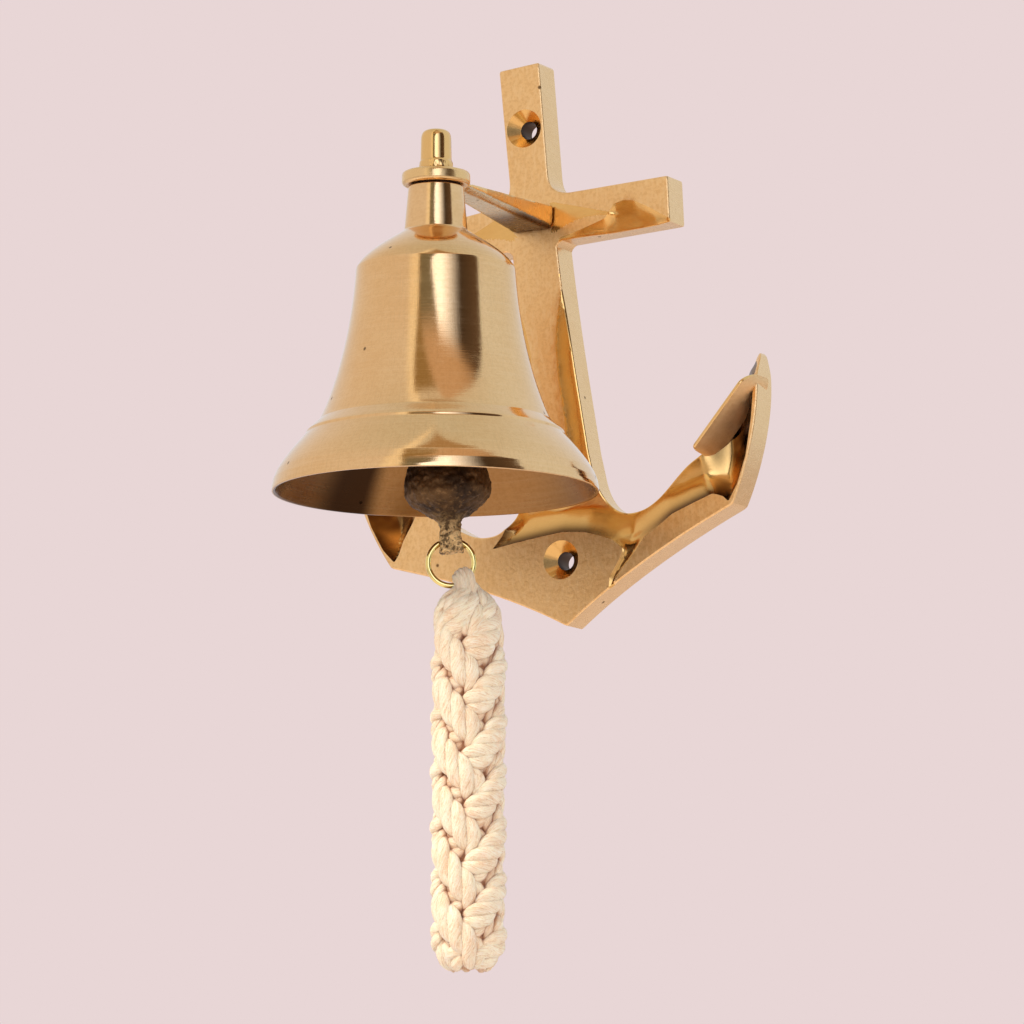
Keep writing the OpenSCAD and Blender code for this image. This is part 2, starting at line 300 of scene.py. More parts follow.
OLD_BROWN, DEEP_BROWN = (0.34, 0.20, 0.08), (0.30, 0.15, 0.05)
SATIN = metal("cast_satin", (0.96, 0.61, 0.265), DEEP_BROWN, 0.36, (1100, 1100, 420), slant=0.7,
              swirl=1.2, pits=0.5, grain=3.6, wobble=0.3, mottle=0.6)
# Its near-black second colour is painted where the attribute says so, in the coves and the fluke's recess: painted
# shade and dark reflection.
COVE = metal("cast_polished", (0.86, 0.51, 0.165), (0.08, 0.03, 0.01), 0.20, (260, 260, 900), slant=0.3,
             swirl=0.8, pits=0.3, grain=0.4, wobble=0.6, residue_and_shade=0.93, mottle=0.15)
SIDE = metal("cast_side", (0.90, 0.60, 0.29), OLD_BROWN, 0.27, (200, 200, 1000),
             swirl=1.2, pits=0.8, grain=1.3, wobble=0.5, mottle=0.25)
GROUND = metal("ground_brass", (0.90, 0.62, 0.31), OLD_BROWN, 0.58, (300, 300, 1200), slant=0.6,
               swirl=1.2, pits=0.3, grain=1.5, wobble=0.3, mottle=0.3)
# The arm's brass in lit and shaded copies, given to faces by which way they look: the underside's grey-olive is
# painted reflection, with painted shadow along its foot; the top's pale colour is painted highlight; the flank's
# orange-brown is painted shade.
UNDER = metal("arm_underside_painted_reflection", (0.70, 0.60, 0.40), (0.06, 0.025, 0.01), 0.28, (300, 900, 300),
              swirl=1.2, pits=0.8, grain=2.0, wobble=1.4, mottle=0.4, residue_and_shade=0.92)
ARM_TOP = metal("arm_top_painted_highlight", (0.99, 0.86, 0.60), DEEP_BROWN, 0.22, (300, 900, 300),
                swirl=0.8, pits=0.5, grain=1.0, wobble=1.0)
FLANK = metal("arm_flank_painted_shade", (0.72, 0.40, 0.14), (0.15, 0.06, 0.02), 0.30, (300, 900, 300),
              swirl=1.2, pits=0.6, grain=1.5, wobble=0.8, mottle=0.3)
# Painted shade: the wall holes' walls nearly black, for the dark inside the holes.
HOLE_SHADE = metal("hole_wall_painted_shade", (0.10, 0.055, 0.03), (0.03, 0.015, 0.01), 0.5,
                swirl=0.6, pits=0.5, grain=0.5, wobble=0.5)
ROUGH_BRASS = metal("brazed_brass", (0.86, 0.58, 0.26), (0.22, 0.10, 0.03), 0.24, (500, 500, 500),
                    swirl=0.6, pits=0.6, grain=0.6, wobble=0.8)
RING_BRASS = metal("ring_brass", (0.93, 0.74, 0.27), (0.22, 0.14, 0.03), 0.10, (80, 80, 2200),
                   swirl=0.3, pits=0.1, grain=0.1, wobble=0.3)
BRIGHT = metal("bright_brass", (0.85, 0.54, 0.205), (0.26, 0.13, 0.04), 0.13, (80, 80, 2200),
               swirl=0.4, pits=0.1, grain=0.1, wobble=0.3)
TURNED = metal("turned_brass", (0.86, 0.56, 0.265), (0.28, 0.15, 0.06), 0.11, (60, 1, 2600),
               swirl=0.9, pits=0.5, grain=0.25, wobble=0.16, lathed=True, mottle=0.3)
# Inside the bell: a brown far darker than the outside's, partly painted shade inside the bell, with a band of
# painted dark reflection that stands also for oxide.
INSIDE = metal("turned_inside", (0.34, 0.175, 0.06), (0.035, 0.015, 0.006), 0.24, (40, 1, 1500),
               swirl=2.6, pits=0.4, grain=0.5, wobble=0.3, lathed=True, mottle=0.6,
               stain_and_reflection=(-0.70, -0.54, -0.36, -0.08))


def make_rough_cast():
    """The clapper's sand-cast skin: brown with rubbed high points, and bright brass near its tail. The dark brown
    higher up is partly its cast skin and partly painted shade from the bell it hangs in.
    """
    m, nt, bsdf = new_material("rough_cast")
    n = Nodes(nt)
    p = n.coord()
    grit = n.noise(p, 900, 5.0, 0.7)
    lump = n.noise(p, 260, 3.0, 0.6)
    near, _ = n.voronoi(p, 620)
    rust = n.noise(p, 130, 4.0, 0.6)
    rub = n.remap(grit, 0.52, 0.66, 0.0, 1.0, True)
    base = n.mix(n.remap(rust, 0.35, 0.65, 0.0, 1.0, True), (0.05, 0.028, 0.014), (0.15, 0.08, 0.03))
    # Bright brass only towards the tail; higher up the dark brown stays, partly painted shade from the bell.
    low = n.remap(n.sep(p)[2], -54 * MM, -47 * MM, 1.0, 0.0, True)
    base = n.mix(n.math("MULTIPLY", rub, 0.35), base, (0.34, 0.19, 0.075))
    base = n.mix(n.math("MULTIPLY", low, n.remap(grit, 0.4, 0.56, 0.15, 1.0, True)), base, (0.83, 0.56, 0.24))
    nt.links.new(base, bsdf.inputs["Base Color"])
    bsdf.inputs["Metallic"].default_value = 0.85
    nt.links.new(n.remap(grit, 0.35, 0.65, 0.66, 0.46), bsdf.inputs["Roughness"])
    height = n.math("ADD", grit, n.math("MULTIPLY", near, 0.7))
    height = n.math("ADD", height, lump)
    nt.links.new(n.bump(height, 0.9, 0.22 * MM), bsdf.inputs["Normal"])
    return m


def make_fibre():
    """Red-brown pressed fibre, for the washer in the swivel."""
    m, nt, bsdf = new_material("fibre")
    n = Nodes(nt)
    p = n.coord()
    fleck = n.noise(n.mapping(p, (1, 1, 5)), 900, 4.0, 0.65)
    nt.links.new(n.mix(fleck, (0.05, 0.025, 0.015), (0.16, 0.07, 0.04)), bsdf.inputs["Base Color"])
    nt.links.new(n.remap(fleck, 0.3, 0.7, 0.75, 0.5), bsdf.inputs["Roughness"])
    nt.links.new(n.bump(fleck, 0.5, 0.05 * MM), bsdf.inputs["Normal"])
    return m


def make_cotton():
    """Soft-laid cotton. The attributes say how deep a point lies in the plait, and where it is along and around
    its strand."""
    m, nt, bsdf = new_material("cotton")
    n = Nodes(nt)
    p = n.coord()
    depth = n.attribute("depth")
    yarn = n.combine(n.attribute("along"), n.attribute("turn_c"), n.attribute("turn_s"))
    fibre = n.noise(n.mapping(yarn, (0.6, 6.0, 6.0)), 1.0, 4.0, 0.62, 0.5)
    fuzz = n.noise(p, 1900, 5.0, 0.7, 0.4)
    patch = n.noise(p, 210, 3.0, 0.6)
    lint = n.noise(p, 2900, 3.0, 0.65)
    crease_shade = n.remap(depth, 0.0, 1.0)
    shade = n.remap(n.occlusion(2.2 * MM), 0.15, 0.8, 1.0, 0.0, True)
    base = n.mix(n.remap(patch, 0.35, 0.7, 0.0, 1.0, True), (0.96, 0.82, 0.55), (0.91, 0.66, 0.40))
    base = n.mix(n.remap(fibre, 0.46, 0.66, 0.0, 0.7, True), base, (0.99, 0.90, 0.72))
    base = n.mix(n.remap(fibre, 0.50, 0.32, 0.0, 0.75, True), base, (0.72, 0.45, 0.24))
    base = n.mix(n.remap(fuzz, 0.55, 0.75, 0.0, 0.5, True), base, (0.72, 0.48, 0.27))
    base = n.mix(n.remap(lint, 0.56, 0.68, 0.0, 0.55, True), base, (1.0, 0.94, 0.76))
    # Painted shade: darker orange-brown the deeper a point lies in the plait, and where the occlusion node finds
    # it hemmed in.
    base = n.mix(n.math("MULTIPLY", crease_shade, 0.85), base, (0.68, 0.34, 0.16))
    base = n.mix(n.math("MULTIPLY", shade, 0.95), base, (0.42, 0.17, 0.07))
    nt.links.new(base, bsdf.inputs["Base Color"])
    nt.links.new(n.remap(fuzz, 0.3, 0.7, 0.98, 0.84), bsdf.inputs["Roughness"])
    bsdf.inputs["Specular IOR Level"].default_value = 0.15
    bsdf.inputs["Sheen Weight"].default_value = 0.25
    bsdf.inputs["Sheen Roughness"].default_value = 0.6
    bsdf.inputs["Subsurface Weight"].default_value = 0.12
    bsdf.inputs["Subsurface Radius"].default_value = (1.0, 0.6, 0.4)
    bsdf.inputs["Subsurface Scale"].default_value = 0.6 * MM
    height = n.math("ADD", fibre, n.math("MULTIPLY", fuzz, 0.55))
    height = n.math("ADD", height, n.math("MULTIPLY", lint, 0.2))
    nt.links.new(n.bump(height, 0.85, 0.22 * MM), bsdf.inputs["Normal"])
    return m


ROUGH_CAST, FIBRE, COTTON = make_rough_cast(), make_fibre(), make_cotton()


# ---------------------------------------------------------------- mesh helpers
def make_piece(name, verts_mm, faces, materials, body, replaces=(), face_mats=None, sharp=32,
               attributes=None):
    """A mesh piece in metres, shaded smooth up to the sharp angle, riding on its body."""
    mesh = bpy.data.meshes.new(name)
    points = [tuple(v) for v in np.asarray(verts_mm) * MM]
    mesh.from_pydata(points, [], [tuple(int(i) for i in f) for f in faces])
    mesh.validate()
    for m in materials:
        mesh.materials.append(m)
    if face_mats is not None:
        mesh.polygons.foreach_set("material_index", np.asarray(face_mats, dtype=np.int32))
    mesh.shade_smooth()
    if sharp < 180:
        mesh.set_sharp_from_angle(angle=math.radians(sharp))
    for key, values in (attributes or {}).items():
        mesh.attributes.new(key, "FLOAT", "POINT").data.foreach_set("value", np.asarray(values, np.float32))
    o = bpy.data.objects.new(name, mesh)
    bpy.context.scene.collection.objects.link(o)
    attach(o, body)
    if replaces:
        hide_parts(*replaces)
    return o


def join_parts(parts):
    """Joins (verts, faces) lists into one."""
    verts, faces, base = [], [], 0
    for v, f in parts:
        verts.append(np.asarray(v, float))
        faces += [[i + base for i in q] for q in f]
        base += len(v)
    return np.vstack(verts), faces


def path_length(points):
    """How far along a path each of its points lies."""
    return np.concatenate([[0], np.cumsum(np.linalg.norm(np.diff(points, axis=0), axis=1))])


def rounded_path(points, closed, sigma, step):
    """Samples a path finely and rounds its corners over about sigma. Gives the samples and the path's length."""
    p = np.asarray(points, float)
    if closed:
        p = np.vstack([p, p[:1]])
    apart = np.linalg.norm(np.diff(p, axis=0), axis=1) > 1e-9
    p = p[np.concatenate([[True], apart])]
    s = path_length(p)
    at = np.linspace(0, s[-1], int(s[-1] / step) + 1)
    q = np.stack([np.interp(at, s, column) for column in p.T], 1)
    half = max(1, int(3 * sigma / step))
    kernel = np.exp(-0.5 * (np.arange(-half, half + 1) * step / sigma) ** 2)
    kernel /= kernel.sum()
    if closed:
        q = q[:-1]
        padded = np.vstack([q[-half:], q, q[:half]])
    else:
        padded = np.vstack([2 * q[0] - q[half:0:-1], q, 2 * q[-1] - q[-2:-half - 2:-1]])
    return np.stack([np.convolve(column, kernel, "valid") for column in padded.T], 1), s[-1]


def refine_path(points, closed, sigma, step=0.1, max_len=1.4, max_turn=0.05):
    """A rounded path that keeps only the points its turns need."""
    q, _ = rounded_path(points, closed, sigma, step)
    out, turned_by, length = [q[0]], 0.0, 0.0
    for i in range(1, len(q) - 1):
        a, b = q[i] - q[i - 1], q[i + 1] - q[i]
        cosine = np.dot(a, b) / (np.linalg.norm(a) * np.linalg.norm(b) + 1e-12)
        turned_by += math.acos(max(-1, min(1, cosine)))
        length += np.linalg.norm(a)
        if turned_by > max_turn or length > max_len:
            out.append(q[i])
            turned_by = length = 0.0
    out.append(q[-1])
    return np.array(out)


def even_path(points, step, sigma, closed=False):
    """A rounded path in even steps."""
    q, length = rounded_path(points, closed, sigma, 0.05)
    if closed:
        q = np.vstack([q, q[:1]])
    count = max(2, int(round(length / step)))
    q = q[np.round(np.linspace(0, len(q) - 1, count + 1)).astype(int)]
    return q[:-1] if closed else q


def lathe(profile, axis, segments=144, closed=False, wobble=None):
    """Turns a profile of (radius, height) about a vertical axis. Ends at radius 0 close to a point."""
    verts, faces, rows = [], [], []
    for r, z in profile:
        if r < 1e-4 and not closed:
            rows.append([len(verts)])
            verts.append((axis[0], axis[1], z))
            continue
        row = []
        for k in range(segments):
            a = 2 * math.pi * k / segments
            rr = r + (wobble(r, z, a) if wobble else 0)
            row.append(len(verts))
            verts.append((axis[0] + rr * math.cos(a), axis[1] + rr * math.sin(a), z))
        rows.append(row)
    pairs = list(zip(rows, rows[1:])) + ([(rows[-1], rows[0])] if closed else [])
    for low, high in pairs:
        for k in range(segments):
            n = (k + 1) % segments
            if len(low) == 1:
                faces.append((low[0], high[n], high[k]))
            elif len(high) == 1:
                faces.append((low[k], low[n], high[0]))
            else:
                faces.append((low[k], low[n], high[n], high[k]))
    return np.array(verts), faces


def skin(rings):
    """Rings of points, all of one length, joined by quads."""
    k = len(rings[0])
    faces = [(i * k + j, i * k + (j + 1) % k, (i + 1) * k + (j + 1) % k, (i + 1) * k + j)
             for i in range(len(rings) - 1) for j in range(k)]
    return np.array([p for ring in rings for p in ring]), faces


def circle(radius, n):
    """The two coordinates of each of n points round a circle."""
    a = np.arange(n) * 2 * math.pi / n
    return radius * np.cos(a), radius * np.sin(a)


def tube(path, radius, sides=20, closed=False, flat=None, ridges=None):
    """A tube about a path. flat gives each ring's (outward direction, width, thickness); ridges(s, angle) scales
    it. Gives the mesh, and how far along and around the tube each of its points lies."""
    p = np.asarray(path, float)
    n = len(p)
    tangents = np.roll(p, -1, 0) - np.roll(p, 1, 0) if closed else np.gradient(p, axis=0)
    tangents /= np.linalg.norm(tangents, axis=1)[:, None]
    length = path_length(p)
    if flat is None:
        widths = heights = np.broadcast_to(radius, n)
    else:
        outward, widths, heights = flat
    verts, along, around = [], [], []
    out = UP if abs(tangents[0][2]) < 0.9 else np.array([1.0, 0.0, 0.0])
    for i, (t, w, h) in enumerate(zip(tangents, widths, heights)):
        if flat is not None:
            out = outward[i]
        out = out - t * np.dot(out, t)
        out /= np.linalg.norm(out)
        side = np.cross(t, out)
        for k in range(sides):
            a = 2 * math.pi * k / sides
            scale = ridges(length[i], a) if ridges else 1.0
            verts.append(p[i] + (side * w * math.cos(a) + out * h * math.sin(a)) * scale)
            along.append(length[i])
            around.append(a + 0.45 * length[i])
    faces = []
    for i in range(n if closed else n - 1):
        j = (i + 1) % n
        for k in range(sides):
            m = (k + 1) % sides
            faces.append((i * sides + k, i * sides + m, j * sides + m, j * sides + k))
    if not closed:
        for end in (0, n - 1):
            centre = len(verts)
            verts.append(p[end])
            along.append(length[end])
            around.append(0.0)
            for k in range(sides):
                m = (k + 1) % sides
                tri = (centre, end * sides + m, end * sides + k)
                faces.append(tri if end == 0 else (tri[0], tri[2], tri[1]))
    return np.array(verts), faces, np.array(along), np.array(around)


def net(field, lo, hi, step):
    """The surface where field(x, y, z) is 0, as a mesh of quads, its points settled onto the surface."""
    lo, hi = np.asarray(lo, float), np.asarray(hi, float)
    count = np.ceil((hi - lo) / step).astype(int) + 1
    axes = [lo[k] + step * np.arange(count[k]) for k in range(3)]
    gx, gy, gz = np.meshgrid(*axes, indexing="ij")
    f = field(gx.ravel(), gy.ravel(), gz.ravel()).reshape(count)
    inside = f < 0
    corner = [inside[i:count[0] - 1 + i, j:count[1] - 1 + j, k:count[2] - 1 + k].astype(np.uint8)
              for i in (0, 1) for j in (0, 1) for k in (0, 1)]
    total = sum(corner)
    active = (total > 0) & (total < 8)
    index = -np.ones(active.shape, int)
    cells = np.argwhere(active)
    index[active] = np.arange(len(cells))
    pos, hits = np.zeros((len(cells), 3)), np.zeros(len(cells))
    unit = np.eye(3, dtype=int)
    for axis in range(3):
        others = [unit[k] for k in range(3) if k != axis]
        for i in (0, 1):
            for j in (0, 1):
                a = cells + i * others[0] + j * others[1]
                b = a + unit[axis]
                fa, fb = f[tuple(a.T)], f[tuple(b.T)]
                cross = (fa < 0) != (fb < 0)
                t = np.where(cross, fa / np.where(cross, fa - fb, 1), 0)
                pos[cross] += (a + t[:, None] * unit[axis])[cross]
                hits[cross] += 1
    verts = lo + step * pos / hits[:, None]
    faces = []
    for axis in range(3):
        u, v = [k for k in range(3) if k != axis]
        here = [slice(1, -1)] * 3
        here[axis] = slice(0, count[axis] - 1)
        there = list(here)
        there[axis] = slice(1, count[axis])
        a, b = inside[tuple(here)], inside[tuple(there)]
        where = np.argwhere(a != b)
        starts = where + np.array([0 if k == axis else 1 for k in range(3)])
        out = a[tuple(where.T)]
        quad = []
        for du, dv in ((1, 1), (0, 1), (0, 0), (1, 0)):
            q = starts.copy()
            q[:, u] -= du
            q[:, v] -= dv
            quad.append(index[tuple(q.T)])
        quad = np.stack(quad, 1)
        flip = out if axis != 1 else ~out
        quad[~flip] = quad[~flip][:, ::-1]
        faces.append(quad)
    faces = np.vstack(faces)
    e = step * 0.05
    for _ in range(3):
        x, y, z = verts.T
        value = field(x, y, z)
        grad = np.stack([(field(x + e, y, z) - field(x - e, y, z)), (field(x, y + e, z) - field(x, y - e, z)),
                         (field(x, y, z + e) - field(x, y, z - e))], 1) / (2 * e)
        size = (grad**2).sum(1)
        move = -(value / np.maximum(size, 0.05))[:, None] * grad
        verts += np.clip(move, -0.4 * step, 0.4 * step)
    return verts, faces.tolist()


def rough(verts, faces, amount, scale, where=None, seed=0.0, octaves=4):
    """Moves points along their normals by fractal noise. where(verts) scales it."""
    mesh = bpy.data.meshes.new("tmp")
    mesh.from_pydata([tuple(v) for v in verts], [], [tuple(f) for f in faces])
    mesh.update()
    normals = np.array([v.normal for v in mesh.vertices])
    bpy.data.meshes.remove(mesh)
    share = np.ones(len(verts)) if where is None else where(verts)
    out = np.array(verts, float)
    for i in np.nonzero(share > 0)[0]:
        q = Vector(out[i] * scale) + Vector((seed, seed * 1.7, -seed))
        out[i] += normals[i] * noise.fractal(q, 0.7, 2.1, octaves) * amount * share[i]
    return out


def smooth_min(a, b, k):
    """The lesser of two distances, blended where they differ by less than k."""
    h = np.clip(0.5 + 0.5 * (b - a) / k, 0, 1)
    return b * (1 - h) + a * h - k * h * (1 - h)


def smooth_max(a, b, k):
    return -smooth_min(-a, -b, k)


# ---------------------------------------------------------------- lanyard: one plaited cord, modelled first
# The route from the ring down, in the clapper's turned frame: along E_R, and the height
LANYARD_ROUTE = np.array([(6.9, -61.6), (7.2, -66.4), (7.3, -68), (7.5, -71), (7.8, -76), (7.8, -88),
                          (7.8, -100),
                          (7.8, -112), (7.8, -124), (7.8, -136), (7.8, -148), (7.8, -152), (7.8, -154.2)])
LANYARD_HALF_W, LANYARD_FLATNESS = 8.5, 0.82


def placed(x, y, z, origin=(AXIS[0], AXIS[1], 0.0)):
    """Points of the clapper's turned frame: x along E_R, y along E_T and z up from the origin."""
    return np.array(origin) + np.multiply.outer(x, E_R) + np.multiply.outer(y, E_T) + np.multiply.outer(z, UP)


def noise_line(values, seed):
    return np.array([noise.noise(Vector((float(t), seed, 0.2))) for t in values])


def ridged(count, depth, power, phase):
    """A yarn's outline: count soft grooves that wind round it as it runs."""
    return lambda s, angle: 1.03 - depth * (1 - abs(math.sin(count * angle + s * 1.3 + phase))) ** power


def strand_marks(along, around):
    """How far along a yarn a point lies, and the cosine and sine of its turn about the yarn."""
    return np.stack([along, np.cos(around), np.sin(around)], 1)


def fibres(verts, faces, count, reach, rng, where):
    """Loose cotton fibres: short bent hairs that stand off the yarns. where gives each point's share of them."""
    tri = np.array([f[:3] for f in faces])
    a, b, c = verts[tri[:, 0]], verts[tri[:, 1]], verts[tri[:, 2]]
    normal = np.cross(b - a, c - a)
    area = np.linalg.norm(normal, axis=1)
    weight = area * where[tri[:, 0]]
    pick = rng.choice(len(tri), count, p=weight / weight.sum())
    out_v, out_f = [], []
    ring = np.linspace(0, 2 * math.pi, 4)[:-1]
    for i in pick:
        n = normal[i] / (area[i] + 1e-12)
        side = np.cross(n, rng.standard_normal(3))
        side /= np.linalg.norm(side) + 1e-9
        length = reach * rng.uniform(0.45, 1.6)
        lean_out, curl = rng.uniform(0.15, 0.8), rng.uniform(-1.6, 1.6)
        base, radius = a[i] - n * 0.05, rng.uniform(0.022, 0.042)
        q = np.cross(n, side)
        start = 15 * len(out_v)
        pts = []
        for k in range(5):
            t = k / 4
            d = (side * math.cos(curl * t) + q * math.sin(curl * t)) * (1 - 0.3 * lean_out)
            base_k = base + d * length * t + n * length * lean_out * (t - 0.55 * t * t)
            r = radius * (1 - 0.75 * t)
            for w in ring:
                pts.append(base_k + (n * math.cos(w) + np.cross(d, n) * math.sin(w)) * r)
        out_v.append(np.array(pts))
        for k in range(4):
            for w in range(3):
                m = (w + 1) % 3
                out_f.append((start + 3 * k + w, start + 3 * k + m,
                              start + 3 * k + 3 + m, start + 3 * k + 3 + w))
        out_f.append((start + 12, start + 13, start + 14))
    return np.vstack(out_v), out_f


PLY_PITCH = 13.0


def plait():
    """Eight strands of three plies, four wound each way, that pass over and under each other in four columns."""
    top, bottom = -64.7, -152.6
    lay, step = 50.0, 0.6
    z = np.arange(top, bottom, -step)
    down = top - z
    below_ring = LANYARD_ROUTE[1:]
    centre_x = np.interp(-z, -below_ring[:, 1], below_ring[:, 0])
    # The width's share of the full one, at these distances below the frame's origin
    stops = [64.7, 65.7, 67.0, 68.9, 71.0, 74.5, 144, 148.4, 150.6, 151.9, 152.7]
    shares = [0.28, 0.42, 0.62, 0.85, 0.96, 1, 1, 0.96, 0.84, 0.66, 0.5]
    width = np.interp(-z, stops, shares)
    wound = np.cumsum(smoothstep(down, 3, 14)) * step
    weave = smoothstep(down, 8, 17) * (1 - smoothstep(down, 82, 86))
    boundary = math.radians(-80)
    core_r = 5.9
    parts, depth, marks = [], [], []
    rng = np.random.default_rng(11)
    for family, start in ((1, 0.0), (-1, math.radians(-115))):
        for strand in range(4):
            strand_seed = strand * 7.3 + family * 3.1
            jitter = noise_line(down * 0.10 + strand_seed, 9.1)
            theta = start + strand * math.pi / 2 + family * 2 * math.pi * wound / lay + 0.06 * jitter * weave
            wave = -np.sin(2 * (theta - boundary)) * family
            over = np.tanh(2.4 * wave) / math.tanh(2.4) * weave
            rad = (5.85 + 1.1 * over + 0.2 * jitter * weave) * width
            centre = placed(centre_x + rad * np.cos(theta), rad * LANYARD_FLATNESS * np.sin(theta), z)
            out = placed(np.cos(theta), LANYARD_FLATNESS * np.sin(theta), 0 * z, (0.0, 0.0, 0.0))
            travel = np.gradient(centre, axis=0)
            travel /= np.linalg.norm(travel, axis=1)[:, None]
            out -= travel * (out * travel).sum(1)[:, None]
            out /= np.linalg.norm(out, axis=1)[:, None]
            side = np.cross(travel, out)
            run = path_length(centre)
            shrink = np.clip(width, 0.5, 1) ** 0.8
            for ply in range(3):
                swell = noise_line(down * 0.14 + strand_seed * 2 + ply * 5.3, 1.4)
                phi = -2 * math.pi * run / PLY_PITCH + ply * 2 * math.pi / 3 + strand * 1.3 + family
                spread = (1.76 + 0.3 * (1 - weave)) * shrink
                p = (centre + side * (spread * np.cos(phi))[:, None]
                     + out * (0.78 * shrink * np.sin(phi))[:, None])
                size = (1.54 + 0.1 * (1 - weave)) * shrink * (1 + 0.13 * swell)
                ridges = ridged(3.5, 0.10, 1.5, rng.uniform(0, 6.28))
                v, f, along, around = tube(p, None, 24, flat=(out, 1.15 * size, 0.92 * size), ridges=ridges)
                local = v - np.array([AXIS[0], AXIS[1], 0])
                lx = local @ E_R - np.interp(-v[:, 2], -z, centre_x)
                ly = (local @ E_T) / LANYARD_FLATNESS
                radius = np.hypot(lx, ly) / (LANYARD_HALF_W * np.interp(-v[:, 2], -z, width))
                depth.append(np.clip((0.90 - radius) / 0.28, 0, 1))
                marks.append(strand_marks(along + strand * 31 + ply * 7 + family * 90, around))
                parts.append((v, f))
    flat_out = np.tile(E_T, (len(z), 1))
    core = (flat_out, core_r * width, core_r * LANYARD_FLATNESS * width)
    v, f, along, around = tube(placed(centre_x, 0 * z, z), None, 48, flat=core)
    parts.append((v, f))
    # Depth 1 gives the core the full painted shade of the plait's hollows.
    depth.append(np.ones(len(v)))
    marks.append(strand_marks(along, around * 3))
    return *join_parts(parts), np.concatenate(depth), np.concatenate(marks)


def with_fibres(verts, faces, depth, marks, count, reach, seed):
    """Adds loose fibres to yarns: the mesh, and what the cotton material needs to know of each point."""
    hair_v, hair_f = fibres(verts, faces, count, reach, np.random.default_rng(seed), (1 - depth) ** 2 + 0.01)
    verts, faces = join_parts([(verts, faces), (hair_v, hair_f)])
    marks = np.vstack([marks, np.full((len(hair_v), 3), 0.6)])
    attributes = {"depth": np.concatenate([depth, np.zeros(len(hair_v))])}
    attributes.update(zip(("along", "turn_c", "turn_s"), marks.T))
    return verts, faces, attributes


verts, faces, attributes = with_fibres(*plait(), 5200, 1.15, 21)
lanyard = make_piece("lanyard_plait", verts, faces, [COTTON], "lanyard_group", ("lanyard",),
                     sharp=180,
                     attributes=attributes)


def loop_over_ring():
    """The plait's yarns where they fold over the split ring's wire."""
    hang = math.radians(36)
    across = UP * math.sin(hang) + E_R * math.cos(hang)  # along the wire, at the loop
    inward = UP * math.cos(hang) - E_R * math.sin(hang)  # to the ring's centre
    parts, depth, marks = [], [], []
    rng = np.random.default_rng(5)
    tail = 7.0  # how far the yarns run down into the plait
    for layer, shifts in ((0, (-2.0, -1.0, 0.0, 1.0, 2.0)), (1, (-1.6, -0.5, 0.6, 1.7))):
        for shift in shifts:
            reach, rise = 1.45 + 0.75 * layer, 1.5 + 0.7 * layer - 0.12 * shift * shift
            pts = []
            for t in np.linspace(0, 1, 44):
                half_turn = math.pi * min(1.0, max(0.0, (t - 0.3) / 0.4))
                drop = max(0.0, 1 - t / 0.3, (t - 0.7) / 0.3) * tail
                side = -reach * math.cos(half_turn) * (1 + 0.12 * min(drop, 3.0))
                beside = shift * 0.86 * (1 + 0.06 * drop)
                over = rise * math.sin(half_turn)
                pts.append(LOOP + across * beside + inward * over + E_T * side - UP * drop + E_R * 0.13 * drop)
            pts = np.array(pts)
            for _ in range(5):
                pts[1:-1] = (pts[:-2] + 2 * pts[1:-1] + pts[2:]) / 4
            phase, r = rng.uniform(0, 6), rng.uniform(0.72, 0.86)
            v, f, along, around = tube(pts, r, 22, ridges=ridged(2.0, 0.09, 1.6, phase))
            parts.append((v, f))
            depth.append(np.full(len(v), 0.10))
            marks.append(strand_marks(along + shift * 9 + layer * 50, around))
    return *join_parts(parts), np.concatenate(depth), np.concatenate(marks)


verts, faces, attributes = with_fibres(*loop_over_ring(), 420, 0.8, 22)
make_piece("lanyard_loop_yarns", verts, faces, [COTTON], "lanyard_group", ("lanyard_loop",),
           sharp=180,
           attributes=attributes)


# ---------------------------------------------------------------- anchor
ANCHOR_RIGHT = np.vstack([
    [[0, 68.8], [5.5, 68.8]],
    bezier((5.3, 41), (5.3, 37), (7, 35.8), (10.5, 35.2)),
    [[37.4, 34], [36.9, 22.8], [7.4, 23.9]],
    bezier((6.1, 22.8), (6.8, 0), (8.4, -16), (9.3, -28)),
    bezier((10.2, -34.5), (11, -41), (14.5, -44.6), (18.5, -44.6)),
    bezier((19.5, -44.6), (26, -44.4), (31, -37.5), (37.4, -35)),
    [[39.6, -34], [53.6, -14.4]],
    bezier((53.8, -12.6), (54, -11.4), (55.4, -11.2), (55.6, -13.6), 6),
    bezier((56, -17), (56, -27), (51.3, -39.6), (46.6, -47.6)),
    bezier((45.6, -48), (34, -52), (15, -59.5), (0, -69.4)),
])
MIRROR = np.array([-1.0, 1.0])
# Where the ground flat faces end and the polished coves begin, in the bracket's own plane
PLATE_EDGE = [(12.2, -61.6), (12.6, -59.6), (14.2, -57.6), (16.0, -55.2), (16.8, -53.3), (14.3, -50.9),
              (11.2, -49.4),
              (6.9, -47.7), (0.9, -46.7), (-5.8, -46.9), (-13.2, -47.3), (-18.3, -47.7), (-15.5, -45.2),
              (-14.4, -43.6)]
STRIP_EDGE = [(13.6, -60.8), (16.2, -58.0), (18.6, -56.0), (21.2, -53.2), (22.9, -51.4), (26.4, -49.7),
              (30.6, -47.3),
              (36.7, -45.6), (41.7, -44.3), (44.3, -45.4), (45.6, -46.9), (48.4, -42.9), (51.2, -36.6),
              (53.5, -28.0),
              (54.8, -20.5), (55.1, -15.5), (54.4, -14.0), (53.4, -13.9)]
FLUKE_EDGE = [(-37.5, -34.2), (-39.4, -37.4), (-42.5, -41.5), (-44.3, -45.0), (-45.6, -46.4), (-48.4, -42.9),
              (-51.2, -36.6), (-53.5, -28.0), (-54.8, -20.5), (-55.1, -15.5), (-54.4, -14.0), (-53.4, -13.9)]
